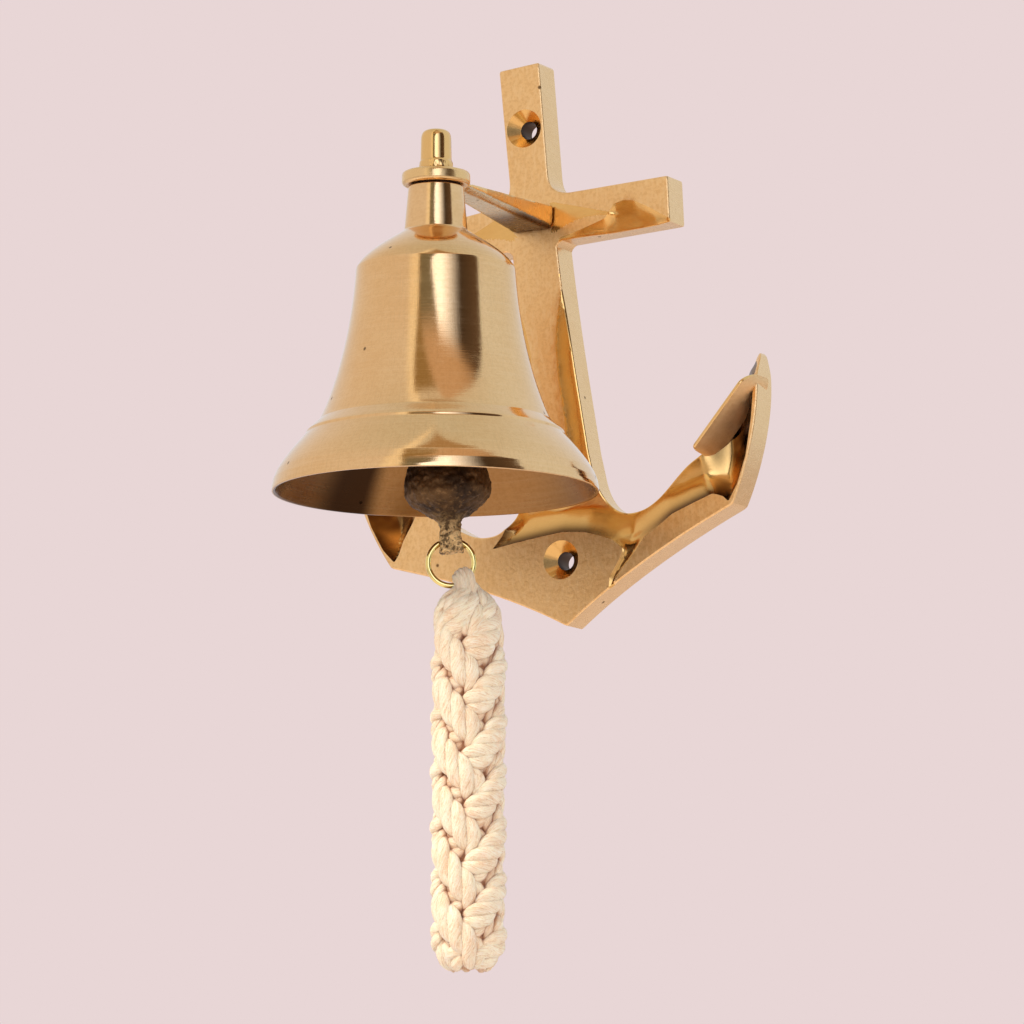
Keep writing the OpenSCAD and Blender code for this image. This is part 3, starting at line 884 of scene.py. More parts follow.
SHANK_EDGE = [(7.2, 14.0), (5.6, 9.5), (4.3, 4.0), (3.4, -2), (3.5, -10), (4.2, -20), (4.2, -28), (3.0, -33.5),
              (0, -35.5)]
RELIEF_EDGE = [(7.0, 24.6), (11, 25.2), (15.0, 25.9), (19.6, 26.9), (21.2, 28.5), (22.4, 30.0), (25.1, 30.4),
               (27.8, 29.8), (32.3, 26.9), (36.3, 24.0), (37.6, 23.2)]
WEDGE = {"root": 6.3, "tip": 23.5, "rise": 2.3}
ROUND_W = 0.36  # how far in the front's rounded edge reaches


def distance_to(points, line):
    """Each point's distance to a line of joined stretches."""
    a, b = line[:-1], line[1:]
    d = b - a
    best = np.full(len(points), 1e9)
    for i in range(len(a)):
        t = np.clip(((points - a[i]) @ d[i]) / max(d[i] @ d[i], 1e-12), 0, 1)
        best = np.minimum(best, np.linalg.norm(points - a[i] - t[:, None] * d[i], axis=1))
    return best


def inside_of(points, polygon):
    """Which points lie inside a polygon."""
    x, z = points[:, 0], points[:, 1]
    result = np.zeros(len(points), bool)
    for (x0, z0), (x1, z1) in zip(polygon, np.roll(polygon, -1, 0)):
        result ^= ((z0 > z) != (z1 > z)) & (x < (x1 - x0) * (z - z0) / (z1 - z0 + 1e-15) + x0)
    return result


PALM_LINE = np.array([39.5, -34.2]), np.array([56.0, -18.2])
BEVEL_SLOPE = 0.85


def behind_palm(p):
    """How far a point lies from the palm's line, towards the shank, near the bill."""
    along = (PALM_LINE[1] - PALM_LINE[0]) / np.linalg.norm(PALM_LINE[1] - PALM_LINE[0])
    q = np.stack([np.abs(p[:, 0]), p[:, 1]], 1) - PALM_LINE[0]
    beside = q[:, 1] * along[0] - q[:, 0] * along[1]
    return np.where((q @ along > 1.0) & (q[:, 0] > 0.5) & (beside < 7), beside, 0)


def ripple_at(p, scale, seed):
    return np.array([noise.noise(Vector((x * scale, z * scale, seed))) for x, z in p])


def wedge_lines(t):
    """The wedge's ridge height, and how far its upper and lower faces reach from it, at shares t of its length."""
    return 31.9 - 4.7 * t, 1.5 * (1 - t) + 0.25, 5.6 * (1 - t) ** 2.2 + 0.35


def wedge_height(p):
    """The web's foot that tapers out along the stock: a ridge with a narrow upper and a broad lower face."""
    x, z = np.abs(p[:, 0]), p[:, 1]
    t = np.clip((x - WEDGE["root"]) / (WEDGE["tip"] - WEDGE["root"]), 0, 1)
    ridge, top, low = wedge_lines(t)
    rise = WEDGE["rise"] * (1 - t) ** 1.15
    up = np.clip(1 - (z - ridge) / top, 0, 1)
    down = np.clip(1 - (ridge - z) / low, 0, 1) ** 1.35
    return np.where(z > ridge, up, down) * rise * (x > WEDGE["root"] - 1.4)


def in_a_hole(x, z, radius):
    """Whether points lie within a radius of either wall hole."""
    return np.minimum(np.hypot(x, z - HOLE_Z), np.hypot(x, z + HOLE_Z)) < radius


def anchor_mesh():
    """The bracket, in its own upright plane: verts, faces, material indices, and where dark brown is painted in
    the coves and the fluke's recess: painted shade and dark reflection, standing also for polishing compound.
    Its front is a height field over the outline, and its sides and back are drawn out from the front's rims."""
    outline = even_path(np.vstack([ANCHOR_RIGHT[:-1], (ANCHOR_RIGHT * MIRROR)[::-1][:-1]]), 0.75, 0.28, True)
    area = 0.5 * np.sum(outline[:, 0] * np.roll(outline[:, 1], -1) - np.roll(outline[:, 0], -1) * outline[:, 1])
    if area < 0:
        outline = outline[::-1]
    tangent = np.roll(outline, -1, 0) - np.roll(outline, 1, 0)
    tangent /= np.linalg.norm(tangent, axis=1)[:, None]
    inward = np.stack([-tangent[:, 1], tangent[:, 0]], 1)
    closed_outline = np.vstack([outline, outline[:1]])

    plate = even_path(PLATE_EDGE, 0.5, 0.35)
    strip = even_path(STRIP_EDGE, 0.5, 0.3)
    fluke = even_path(FLUKE_EDGE, 0.5, 0.3)
    shank_r = even_path(SHANK_EDGE, 0.5, 0.5)
    shank = np.vstack([shank_r, (shank_r * MIRROR)[::-1][1:]])
    relief_r = even_path(RELIEF_EDGE, 0.5, 0.25)
    relief_l = (relief_r * MIRROR)[relief_r[:, 0] > 14]
    edges_of = [plate, strip, fluke, shank]

    # The flat faces as closed polygons that run outside the outline where they meet it
    plate_poly = np.vstack([plate, [(-18, -36), (-33, -28), (-37.0, -33.0)], fluke,
                            [(-53, -8), (-62, -8), (-62, -50), (-46, -56), (0, -80), (12, -66)]])
    strip_poly = np.vstack([strip, [(53, -8), (64, -8), (60, -42), (47, -56), (14, -66)]])
    shank_poly = np.vstack([[(60, 14), (60, 90), (-60, 90), (-60, 14)], shank[::-1]])
    relief_poly_r = np.vstack([relief_r, [(39, 15), (6, 15)]])
    relief_poly_l = np.vstack([relief_l, [(-39, 15), (-14, 15)]])

    def flat_here(p):
        return inside_of(p, plate_poly) | inside_of(p, strip_poly) | inside_of(p, shank_poly)

    def polished_here(p):
        return ~flat_here(p) | inside_of(p, relief_poly_r) | inside_of(p, relief_poly_l)

    def height(p):
        flat = flat_here(p)
        away = np.minimum.reduce([distance_to(p, line) for line in edges_of])
        x, z = np.abs(p[:, 0]), p[:, 1]
        fluke_share = smoothstep(x, 38.5, 46)
        foot_share = smoothstep(-z, 32, 44)
        deep = (0.9 + 2.0 * foot_share) * (1 - fluke_share) + 5.6 * fluke_share
        wide = (3.6 + 3.4 * foot_share) * (1 - fluke_share) + 6.5 * fluke_share
        t = np.clip(away / wide, 0, 1)
        drop = np.where(flat, 0, deep * (1 - (1 - t) ** (1.5 + 0.6 * fluke_share)))
        channel = smoothstep(-z, 49.5, 53)
        drop = drop * (1 - channel) + np.minimum(drop, 0.4) * channel
        for poly in (relief_poly_r, relief_poly_l):
            here = inside_of(p, poly)
            crest = np.interp(x, relief_r[:, 0], relief_r[:, 1])
            foot = np.interp(x, [7.4, 36.9], [23.9, 22.8])
            q = np.clip((crest - z) / np.maximum(crest - foot, 0.4), 0, 1)
            scoop = 1.7 * smoothstep(x, 7, 22) * (1 - 0.35 * smoothstep(x, 28, 37))
            scoop *= np.clip((crest - foot) / 3.5, 0, 1)
            drop = np.where(here, scoop * (q * (1.7 - 0.7 * q)), drop)
        h = ANCHOR_T - drop + wedge_height(p)
        h = np.minimum(h, ANCHOR_T - BEVEL_SLOPE * np.clip(behind_palm(p), 0, 5.6) ** 1.1)
        edge = distance_to(p, closed_outline)
        h -= 0.32 * np.clip(1 - edge / ROUND_W, 0, 1) ** 2
        for cz in (HOLE_Z, -HOLE_Z):
            r = np.hypot(p[:, 0], p[:, 1] - cz)
            h = np.where(r < SINK_R, np.minimum(h, ANCHOR_T - (SINK_R - r)), h)
        return h

    points, edges = [], []

    def add_line(line, closed=False):
        start = len(points)
        points.extend(map(tuple, line))
        edges.extend((start + i, start + i + 1) for i in range(len(line) - 1))
        if closed:
            edges.append((len(points) - 1, start))

    add_line(outline, True)
    face = list(range(len(outline)))
    for offset in (ROUND_W / 3, ROUND_W):
        add_line(outline + inward * offset, True)
    for line in [*edges_of, relief_r, relief_l]:
        ok = inside_of(line, outline) & (distance_to(line, closed_outline) > 0.05)
        run = []
        for i, good in enumerate(ok):
            if good:
                run.append(line[i])
            if (not good or i == len(ok) - 1) and len(run) > 1:
                add_line(np.array(run))
                run = []
    for side in (1, -1):
        t = np.linspace(0, 1, 36)
        x = WEDGE["root"] + (WEDGE["tip"] - WEDGE["root"]) * t
        ridge, top, low = wedge_lines(t)
        for height_there in (ridge, ridge + top, ridge - low):
            add_line(np.stack([x * side, height_there], 1))
    for cz in (HOLE_Z, -HOLE_Z):
        for r in (HOLE_R, 3.0, 3.9, SINK_R - 0.1, SINK_R, SINK_R + 0.12):
            a = np.linspace(0, 2 * math.pi, 73)[:-1]
            add_line(np.stack([r * np.cos(a), cz + r * np.sin(a)], 1), True)
    drawn = np.array(points)
    rng = np.random.default_rng(3)
    for spacing, zone in ((0.62, "cove"), (2.2, "flat")):
        xs = np.arange(-58, 58, spacing)
        zs = np.arange(-71, 71, spacing * 0.87)
        gx, gz = np.meshgrid(xs, zs)
        gx[1::2] += spacing / 2
        g = np.stack([gx.ravel(), gz.ravel()], 1) + rng.uniform(-0.08, 0.08, (gx.size, 2)) * spacing
        g = g[inside_of(g, outline)]
        g = g[distance_to(g, closed_outline) > ROUND_W + 0.3 * spacing]
        x = np.abs(g[:, 0])
        near_wedge = (x < 25) & (x > 5) & (g[:, 1] > 25.5) & (g[:, 1] < 34.2)
        busy = polished_here(g) | near_wedge
        g = g[busy] if zone == "cove" else g[~busy]
        g = g[~in_a_hole(g[:, 0], g[:, 1], SINK_R + 0.12 + 0.35 * spacing)]
        chunks = [g[i:i + 400] for i in range(0, len(g), 400)]
        nearest = np.concatenate([np.linalg.norm(c[:, None] - drawn[None], axis=2).min(1) for c in chunks])
        points.extend(map(tuple, g[nearest > 0.33 * spacing]))
    verts2, _, tris, _, _, _ = geometry.delaunay_2d_cdt([Vector(p) for p in points], edges, [face], 1, 1e-5)
    flat2 = np.array([tuple(v) for v in verts2])
    centres = np.array([flat2[list(t)].mean(0) for t in tris])
    solid = ~in_a_hole(*centres.T, HOLE_R * 0.998)
    tris = [t for t, kept in zip(tris, solid) if kept]
    centres = centres[solid]
    waves = (ripple_at(flat2, 0.13, 1.3) * 0.05
             + ripple_at(flat2, 0.42, 7.7) * np.where(flat_here(flat2), 0.006, 0.03))
    h = height(flat2) + waves
    mats = polished_here(centres) | (wedge_height(centres) > 0.06) | in_a_hole(*centres.T, SINK_R)

    bm = bmesh.new()
    bverts = [bm.verts.new((x, -hh, z)) for (x, z), hh in zip(flat2, h)]
    for t, m in zip(tris, mats):
        bm.faces.new([bverts[i] for i in t]).material_index = int(m)
    bmesh.ops.recalc_face_normals(bm, faces=bm.faces[:])
    loose = [v for v in bm.verts if not v.link_faces]
    bmesh.ops.delete(bm, geom=loose, context="VERTS")
    rims = [e for e in bm.edges if len(e.link_faces) == 1]

    for depth_y, shrink in ((-0.4, 0.0), (0.0, 0.3)):
        got = bmesh.ops.extrude_edge_only(bm, edges=rims)
        new = [g for g in got["geom"] if isinstance(g, bmesh.types.BMVert)]
        for g in got["geom"]:
            if isinstance(g, bmesh.types.BMFace):
                g.material_index = 2
        for v in new:
            v.co.y = depth_y
        if shrink:
            for v in new:
                q = np.array([[v.co.x, v.co.z]])
                i = int(np.argmin(np.linalg.norm(outline - q, axis=1)))
                if np.linalg.norm(outline[i] - q[0]) < 1.2:
                    v.co.x += inward[i][0] * shrink
                    v.co.z += inward[i][1] * shrink
        rims = [g for g in got["geom"] if isinstance(g, bmesh.types.BMEdge)
                and all(abs(v.co.y - depth_y) < 1e-6 for v in g.verts)]
    got = bmesh.ops.triangle_fill(bm, use_beauty=True, edges=rims, normal=(0, 1, 0))
    for g in got["geom"]:
        if isinstance(g, bmesh.types.BMFace):
            g.material_index = 2
    for bf in bm.faces:
        c = bf.calc_center_median()
        # The holes' walls take the nearly black painted-shade material.
        if bf.material_index == 2 and in_a_hole(c.x, c.z, HOLE_R + 0.45):
            bf.material_index = 3
    bmesh.ops.recalc_face_normals(bm, faces=bm.faces[:])
    bm.verts.index_update()
    out_v = np.array([v.co[:] for v in bm.verts])
    out_f = [[v.index for v in f.verts] for f in bm.faces]
    out_m = [f.material_index for f in bm.faces]
    bm.free()
    p = out_v[:, (0, 2)]
    away = np.minimum.reduce([distance_to(p, line) for line in edges_of])
    x = np.abs(p[:, 0])
    # Painted shade and dark reflection: a dark band in the lower coves along the flats' edges, fading towards the
    # bottom point, and most of the fluke's recess. It stands also for polishing compound left there.
    residue_and_shade = np.exp(-((away / 1.9) ** 2)) * smoothstep(-p[:, 1], 30, 40)
    residue_and_shade *= 1 - 0.8 * smoothstep(-p[:, 1], 47, 53)
    fluke = smoothstep(x, 42.5, 46.5) * smoothstep(p[:, 1], -41, -36)
    residue_and_shade = np.clip(np.maximum(residue_and_shade, fluke * (0.95 + 0.2 * ripple_at(p, 0.5, 2.2))), 0, 1)
    return out_v, out_f, out_m, residue_and_shade * (~flat_here(p) | (away < 0.05))


# The palm's section: depth in front of the wall, and how far in from its line each corner lies there
PALM_SECTION = [(-3.0, 0.05), (-7.6, 0.05), (-13.2, 0.0), (-13.75, 0.1), (-14.0, 0.34),
                (-14.0, 0.5), (-13.9, 0.72), (-13.7, 0.85), (-8.2, 1.45), (-3.0, 2.02)]
PALM_FACE = (7, 8)  # its ground faces, by their place in the section


def palm_mesh(side):
    """A fluke's palm: a plate standing out from the bill's inner edge, tapered to a thin free edge."""
    foot, head = PALM_LINE
    length = np.linalg.norm(head - foot)
    along = (head - foot) / length
    out = np.array([along[1], -along[0]])
    n, rings = 60, []
    for i in range(n + 1):
        s = length * i / n
        near = np.clip(s / 1.7, 0, 1)
        far = np.clip((length - s) / 3.5, 0, 1)
        share = math.sqrt(max(0.0, 1 - (1 - near) ** 2)) * (1 - (1 - far) ** 2) ** 0.7
        ring = []
        for y, w in PALM_SECTION:
            reach = y if y > -8 else -8 + (y + 8) * (0.03 + 0.97 * share)
            thin = 1 - 0.45 * (1 - near) ** 2 - 0.7 * (1 - far) ** 3
            p = foot + along * s + out * (w * thin)
            ring.append((side * p[0], reach, p[1]))
        rings.append(ring)
    verts, faces = skin(rings)
    k = len(PALM_SECTION)
    faces += [tuple(range(k)), tuple(reversed(range(n * k, n * k + k)))]
    if side > 0:
        faces = [tuple(reversed(f)) for f in faces]
    return verts, faces


def lean(v, angle=LEAN):
    """Turns points about the wall's normal."""
    c, s = math.cos(angle), math.sin(angle)
    return np.stack([v[:, 0] * c - v[:, 2] * s, v[:, 1], v[:, 0] * s + v[:, 2] * c], 1)


def make_anchor():
    verts, faces, materials, residue_and_shade = anchor_mesh()
    palms = [palm_mesh(1), palm_mesh(-1)]
    for palm_verts, palm_faces in palms:
        materials += [4 if i % len(PALM_SECTION) in PALM_FACE else 5 for i in range(len(palm_faces))]
        residue_and_shade = np.concatenate([residue_and_shade, np.zeros(len(palm_verts))])
    verts, faces = join_parts([(verts, faces), *palms])
    make_piece("anchor_casting", lean(verts), faces, [SATIN, COVE, SIDE, HOLE_SHADE, GROUND, BRIGHT], "bracket",
               ("anchor",), face_mats=materials, sharp=24, attributes={"residue_and_shade": residue_and_shade})


make_anchor()


# ---------------------------------------------------------------- arm with its eye
ARM_NEAR_Y, ARM_ROOT_Y = -46.9, -ANCHOR_T + 1.2


def along_arm(y):
    """0 at the web's near end and 1 at the anchor's face."""
    return (y - ARM_NEAR_Y) / (-ANCHOR_T - ARM_NEAR_Y)


def arm_section(y):
    """Corners of the web's right half at y: top, ridge and lower corner, each (x from its middle, z)."""
    t = np.clip(along_arm(y), -0.1, 1.02)
    top = (3.5 + 2.6 * t, 31.9 + 1.1 * t)
    ridge = (3.5 + 2.2 * t, 31.4 - 3.0 * t)
    low = (1.3 + 3.3 * np.clip(t, 0, 2) ** 0.8, 30.1 - 2.6 * t)
    return top, ridge, low


def side_of(x, z, a, b):
    """Distance outside the line that runs down from a to b on the web's right."""
    dx, dz = b[0] - a[0], b[1] - a[1]
    return ((z - a[1]) * dx - (x - a[0]) * dz) / np.sqrt(dx * dx + dz * dz)


def arm_field(x, y, z):
    """Below 0 inside the arm: its round eye with a bore, blended into the web."""
    cx = x - AXIS[0]
    r = np.hypot(cx, y - AXIS[1])
    ease = 0.9
    dr, dz = r - (EYE_R - ease), np.abs(z - (EYE_Z + EYE_T / 2)) - (EYE_T / 2 - ease)
    eye = np.minimum(np.maximum(dr, dz), 0) + np.hypot(np.maximum(dr, 0), np.maximum(dz, 0)) - ease
    top, ridge, low = arm_section(np.clip(y, AXIS[1] + 3, ARM_ROOT_Y))
    ax = np.abs(cx)
    web = smooth_max(z - top[1], side_of(ax, z, top, ridge), 0.3)
    web = smooth_max(web, side_of(ax, z, ridge, low), 0.3)
    web = smooth_max(web, low[1] - z, 0.5)
    near = np.where(z < EYE_Z + 0.1, ARM_NEAR_Y + 0.5 - y, AXIS[1] + 4.5 - y)
    web = web + 0.5 * np.clip(1 - np.abs(y + ANCHOR_T) / 0.4, 0, 1)
    web = np.maximum(np.maximum(web, y - ARM_ROOT_Y), near)
    both = smooth_min(eye, web, 2.6)
    bore = (3.08 + 0.2 * np.clip(1 - (EYE_Z + EYE_T - z) / 0.3, 0, 1)) - r
    under = EYE_Z - z - 50 * np.clip(y - (AXIS[1] + 7.0), 0, 1)
    return np.maximum(np.maximum(both, bore), under)


def arm_rough_share(v):
    """How rough the arm is: most where the eye was brazed on, and at the root."""
    near = np.exp(-(((v[:, 1] - (AXIS[1] + 8.2)) / 2.4) ** 2)) * (v[:, 2] > EYE_Z + 0.5)
    root = np.exp(-(((v[:, 1] + ANCHOR_T + 0.8) / 2.0) ** 2))
    return 0.10 + 1.3 * near + root


def make_arm():
    lo = (AXIS[0] - 9.2, AXIS[1] - EYE_R - 1.2, 26.0)
    hi = (AXIS[0] + 9.2, ARM_ROOT_Y + 1.0, 35.5)
    verts, faces = net(arm_field, lo, hi, 0.30)
    verts = rough(verts, faces, 0.16, 0.75, arm_rough_share, 2.0)
    quad = verts[np.array(faces)]
    normal = np.cross(quad[:, 2] - quad[:, 0], quad[:, 3] - quad[:, 1])
    up = normal[:, 2] / (np.linalg.norm(normal, axis=1) + 1e-12)
    y = quad.mean(1)[:, 1]
    on_web = y > AXIS[1] + EYE_R - 0.2
    # Faces that look up, down or sideways along the web take the lit and shaded copies: painted highlight, painted
    # reflection and painted shade.
    kinds = [on_web & (up > 0.6), on_web & (up < -0.45), on_web & (up < 0.3) & (along_arm(y) > 0.25)]
    # Painted shadow: dark along the web's lower edge towards its root, where shade falls under the arm.
    above_low_edge = verts[:, 2] - arm_section(verts[:, 1])[2][1]
    root_shadow = smoothstep(along_arm(verts[:, 1]), 0.45, 0.72) * (1 - smoothstep(above_low_edge, 0.5, 1.8))
    make_piece("hanger_arm_casting", verts, faces, [ROUGH_BRASS, UNDER, FLANK, ARM_TOP],
               "bracket", ("hanger_arm",), face_mats=np.select(kinds, (3, 1, 2)), sharp=40,
               attributes={"residue_and_shade": root_shadow})


make_arm()


# ---------------------------------------------------------------- bell
def bell_profile():
    """The bell's outside from its bore at the top to the lip, and its inside from the lip up to the bore."""
    k, h = MOUTH_R / 38.0, (NECK_Z - MOUTH_Z) / 72.2

    def at(p):
        return p[0] * k, MOUTH_Z + p[1] * h

    def run(*p):
        return bezier(*[at(q) for q in p], 24)

    outer = np.vstack([[(BORE_R, NECK_Z), (6.5, NECK_Z)], [at((7.4, 61.9))],
                       run((7.9, 61.4), (11.2, 59.3), (16.8, 56.3), (18.6, 52.8)),
                       run((18.7, 52), (19.5, 39.8), (22.5, 26), (27, 16.6)),
                       [at((30.1, 13.9))],
                       run((30.2, 13.2), (32.5, 10.6), (35.4, 7.4), (37, 4.3)),
                       [at((37.7, 2.5)), at((38, 0.8)), at((38, 0)), at((37.3, 0))]])
    inner = np.vstack([run((37.1, 0.3), (35.2, 4.6), (32.6, 8.8), (27.2, 14.1)),
                       run((26.8, 14.6), (20.6, 22.6), (17.4, 38.6), (16.3, 50.8)),
                       run((16.2, 51.4), (14.6, 54.6), (11, 58.6), (7, 59.6)), [(BORE_R, MOUTH_Z + 59.6 * h)]])
    return outer, inner


def make_bell():
    segments = 192
    profile = refine_path(np.vstack(bell_profile()), True, 0.13, 0.05, 1.3, 0.045)
    verts, faces = lathe(profile, AXIS, segments, True)
    lip = int(np.argmin(profile[:, 1] + (profile[:, 0] > 0.98 * MOUTH_R) * 0.01))
    inside = np.arange(len(profile)) >= lip
    make_piece("bell_turned", verts, faces, [TURNED, INSIDE], "bell_group", ("bell",),
               face_mats=np.repeat(inside, segments), sharp=30)


make_bell()


# ---------------------------------------------------------------- cap nut and the hidden hanger
def make_cap():
    lo, hi = box_mm("cap_nut")
    foot, top, socket = lo[2], hi[2], lo[2] + 5.4

    def braze(r, z, a):
        """Rough brazing about the cap's foot, heaviest at its front right."""
        low = smoothstep(foot - z, -3.0, -1.2) * (r > 3.2)
        heavy = 0.25 + 0.75 * max(0.0, math.cos(a - math.radians(-35))) ** 3
        p = Vector((math.cos(a) * 3.2, math.sin(a) * 3.2, z * 1.6))
        return low * heavy * (0.42 * noise.fractal(p * 1.1, 0.8, 2.2, 4) + 0.10 * heavy)

    dome = bezier((1.5, top), (2.9, top - 0.05), (3.45, top - 0.7), (3.55, top - 2.1), 10)
    skirt = [(3.66, foot + 2.7), (3.9, foot + 2.3), (3.98, foot + 0.5), (3.8, foot)]
    profile = np.vstack([[(0, top)], dome, skirt, [(BORE_R, foot), (BORE_R, socket), (0, socket)]])
    profile = refine_path(profile, False, 0.12, 0.06, 0.5, 0.08)
    profile[0, 0] = profile[-1, 0] = 0.0
    verts, faces = lathe(profile, AXIS, 120, False, braze)
    make_piece("cap_nut_turned", verts, faces, [BRIGHT], "bell_group", ("cap_nut",), sharp=40)


make_cap()


def make_washer(node, material):
    lo, hi = box_mm(node)
    r, z0, z1 = (hi[0] - lo[0]) / 2, lo[2], hi[2]
    profile = refine_path([(BORE_R, z0), (r, z0), (r, z1), (BORE_R, z1)], True, 0.08, 0.05, 1.0, 0.1)
    verts, faces = lathe(profile, AXIS, 96, True)
    make_piece(node + "_disc", verts, faces, [material], "bell_group", (node,), sharp=35)


make_washer("swivel_washer", FIBRE)
make_washer("crown_washer", BRIGHT)


def make_hex_nut(across, segments=96):
    """The crown nut: a hexagon with chamfered corners and a countersunk thread."""
    lo, hi = box_mm("crown_nut")
    z0, z1 = lo[2], hi[2]
    turn = np.arange(segments) * 2 * math.pi / segments
    flats = across * math.cos(math.pi / 6) / np.cos(turn % (math.pi / 3) - math.pi / 6)
    rims = {"sink": BORE_R + 0.35, "bore": BORE_R,
            "face": np.minimum(flats, across * 0.9), "side": np.minimum(flats, across * 0.985)}
    rings = []
    for z, rim in ((z0, "sink"), (z0, "face"), (z0 + 0.45, "side"), (z1 - 0.45, "side"),
                   (z1, "face"), (z1, "sink"), (z1 - 0.35, "bore"), (z0 + 0.35, "bore"), (z0, "sink")):
        x, y = rims[rim] * np.cos(turn), rims[rim] * np.sin(turn)
        rings.append(np.stack([AXIS[0] + x, AXIS[1] + y, np.full(segments, z)], 1))
    verts, faces = skin(rings)
    first = len(verts) - segments  # the last ring is the first one again
    faces = [[i % first for i in f] for f in faces]
    make_piece("crown_nut_hex", verts[:first], faces, [BRIGHT], "bell_group",
               ("crown_nut",), sharp=28)


make_hex_nut(5.75)


def ring_path(centre, radius, a_dir, b_dir, n=96):
    t = np.linspace(0, 2 * math.pi, n + 1)[:-1]
    return centre + radius * (np.multiply.outer(np.cos(t), a_dir) + np.multiply.outer(np.sin(t), b_dir))


def make_bolt_and_link():
    """The bolt, threaded where it shows below the crown nut, with its eye, and the link that hangs in it."""
    bolt_lo, bolt_hi = box_mm("hanger_bolt")
    link_lo, link_hi = box_mm("clapper_link")
    thread_top = box_mm("crown_nut")[1][2] + 1
    eye = np.array([*AXIS, bolt_lo[2] + 4.1])
    foot, top = eye[2] + 2.9, bolt_hi[2]
    profile = [(0, foot), (2.4, foot), (2.4, foot + 1.2)]
    z = foot + 1.4
    while z < top - 0.9:
        if z < thread_top:
            profile += [(2.62, z), (2.99, z + 0.28), (2.62, z + 0.56)]
        else:
            profile += [(2.97, z), (2.97, z + 0.5)]
        z += 0.6
    profile += [(2.97, top - 0.5), (2.5, top), (0, top)]
    shank = lathe(refine_path(profile, False, 0.04, 0.04, 0.5, 0.12), AXIS, 64)
    verts, faces = join_parts([shank, tube(ring_path(eye, 2.9, E_R, UP), 1.2, 28, True)[:2]])
    make_piece("hanger_bolt_eye", verts, faces, [BRIGHT], "bell_group",
               ("hanger_bolt",), sharp=35)
    middle = np.array([*AXIS, (link_lo[2] + link_hi[2]) / 2])
    verts, faces = tube(ring_path(middle, 3.6, E_T, UP), 0.9, 28, True)[:2]
    make_piece("clapper_link_ring", verts, faces, [BRIGHT], "link_group",
               ("clapper_link",), sharp=180)


make_bolt_and_link()


def mesh_object(bm, name):
    """A short-lived object for a Boolean."""
    mesh = bpy.data.meshes.new(name)
    bm.to_mesh(mesh)
    bm.free()
    o = bpy.data.objects.new(name, mesh)
    bpy.context.scene.collection.objects.link(o)
    return o


def slotted_screw(length):
    """A countersunk screw that points into -Y, its head flush at 0 with a slot cut in it."""
    head, shaft, slot_w, slot_d, segments = 2.95, 1.5, 0.75, 0.7, 72
    rings = []
    for y, r in ((0.0, 0.0), (0.0, head * 0.5), (0.0, head - 0.1), (-0.08, head), (-1.5, shaft),
                 (-length + 0.6, shaft), (-length, 0.9), (-length, 0.0)):
        x, z = circle(r, segments)
        rings.append(np.stack([x, np.full(segments, y), z], 1))
    bm = bmesh.new()
    verts, faces = skin(rings)
    bverts = [bm.verts.new(p) for p in verts]
    for f in faces:
        bm.faces.new([bverts[i] for i in f])
    bmesh.ops.remove_doubles(bm, verts=bm.verts[:], dist=1e-4)
    bmesh.ops.recalc_face_normals(bm, faces=bm.faces[:])
    screw = mesh_object(bm, "screw_tmp")
    bm = bmesh.new()
    bmesh.ops.create_cube(bm, size=1.0)
    for v in bm.verts:
        v.co = (v.co.x * slot_w, v.co.y * 2 * slot_d, v.co.z * 8)
    cutter = mesh_object(bm, "cut_tmp")
    cut = screw.modifiers.new("cut", "BOOLEAN")
    cut.operation, cut.object, cut.solver = "DIFFERENCE", cutter, "EXACT"
    done = bpy.data.meshes.new_from_object(screw.evaluated_get(bpy.context.evaluated_depsgraph_get()))
    verts = np.array([p.co[:] for p in done.vertices])
    faces = [list(p.vertices) for p in done.polygons]
    for o in (screw, cutter):
        bpy.data.objects.remove(o)
    return verts, faces


def make_arm_screw():
    """The screw that holds the arm, seen only from behind."""
    lo, hi = box_mm("arm_screw")
    verts, faces = slotted_screw(hi[1] - lo[1])
    verts = lean(verts, math.radians(25)) + np.array([0, hi[1], 30.4])
    make_piece("arm_screw_slotted", lean(verts), faces, [BRIGHT], "bracket",
               ("arm_screw",), sharp=30)


make_arm_screw()


# ---------------------------------------------------------------- clapper
BALL_DROP = 41.0  # the ball's middle below the clapper's pivot
HOLE_DROP = BALL_DROP + 11.7  # the tail's cross hole
CLAPPER_PROFILE = np.vstack([
    [(0, -3.4), (1.75, -4.2), (1.95, -9), (2.0, 14 - BALL_DROP), (2.5, 12 - BALL_DROP),
     (3.6, 10.2 - BALL_DROP)],
    bezier((5.5, 9 - BALL_DROP), (8.6, 8 - BALL_DROP), (10, 3.6 - BALL_DROP), (10, -BALL_DROP), 14),
    bezier((10, -0.2 - BALL_DROP), (10, -3 - BALL_DROP), (6.2, -4.6 - BALL_DROP), (2.3, -7.4 - BALL_DROP), 14),
    [(1.6, -9.5 - BALL_DROP), (0, -9.5 - BALL_DROP)]])


CELL = 0.15


def profile_table():
    """Signed distance to the turned part of the clapper, on a grid of radius and height."""
    r = np.arange(-0.5, 13.0, CELL)
    z = np.arange(-56, 1, CELL)
    gr, gz = np.meshgrid(r, z, indexing="ij")
    q = np.stack([gr.ravel(), gz.ravel()], 1)
    d = distance_to(q, CLAPPER_PROFILE)
    inside = inside_of(np.stack([np.abs(q[:, 0]) + 1e-6, q[:, 1]], 1), CLAPPER_PROFILE)
    return r, z, np.where(inside, -d, d).reshape(gr.shape)


PT_R, PT_Z, PT_D = profile_table()


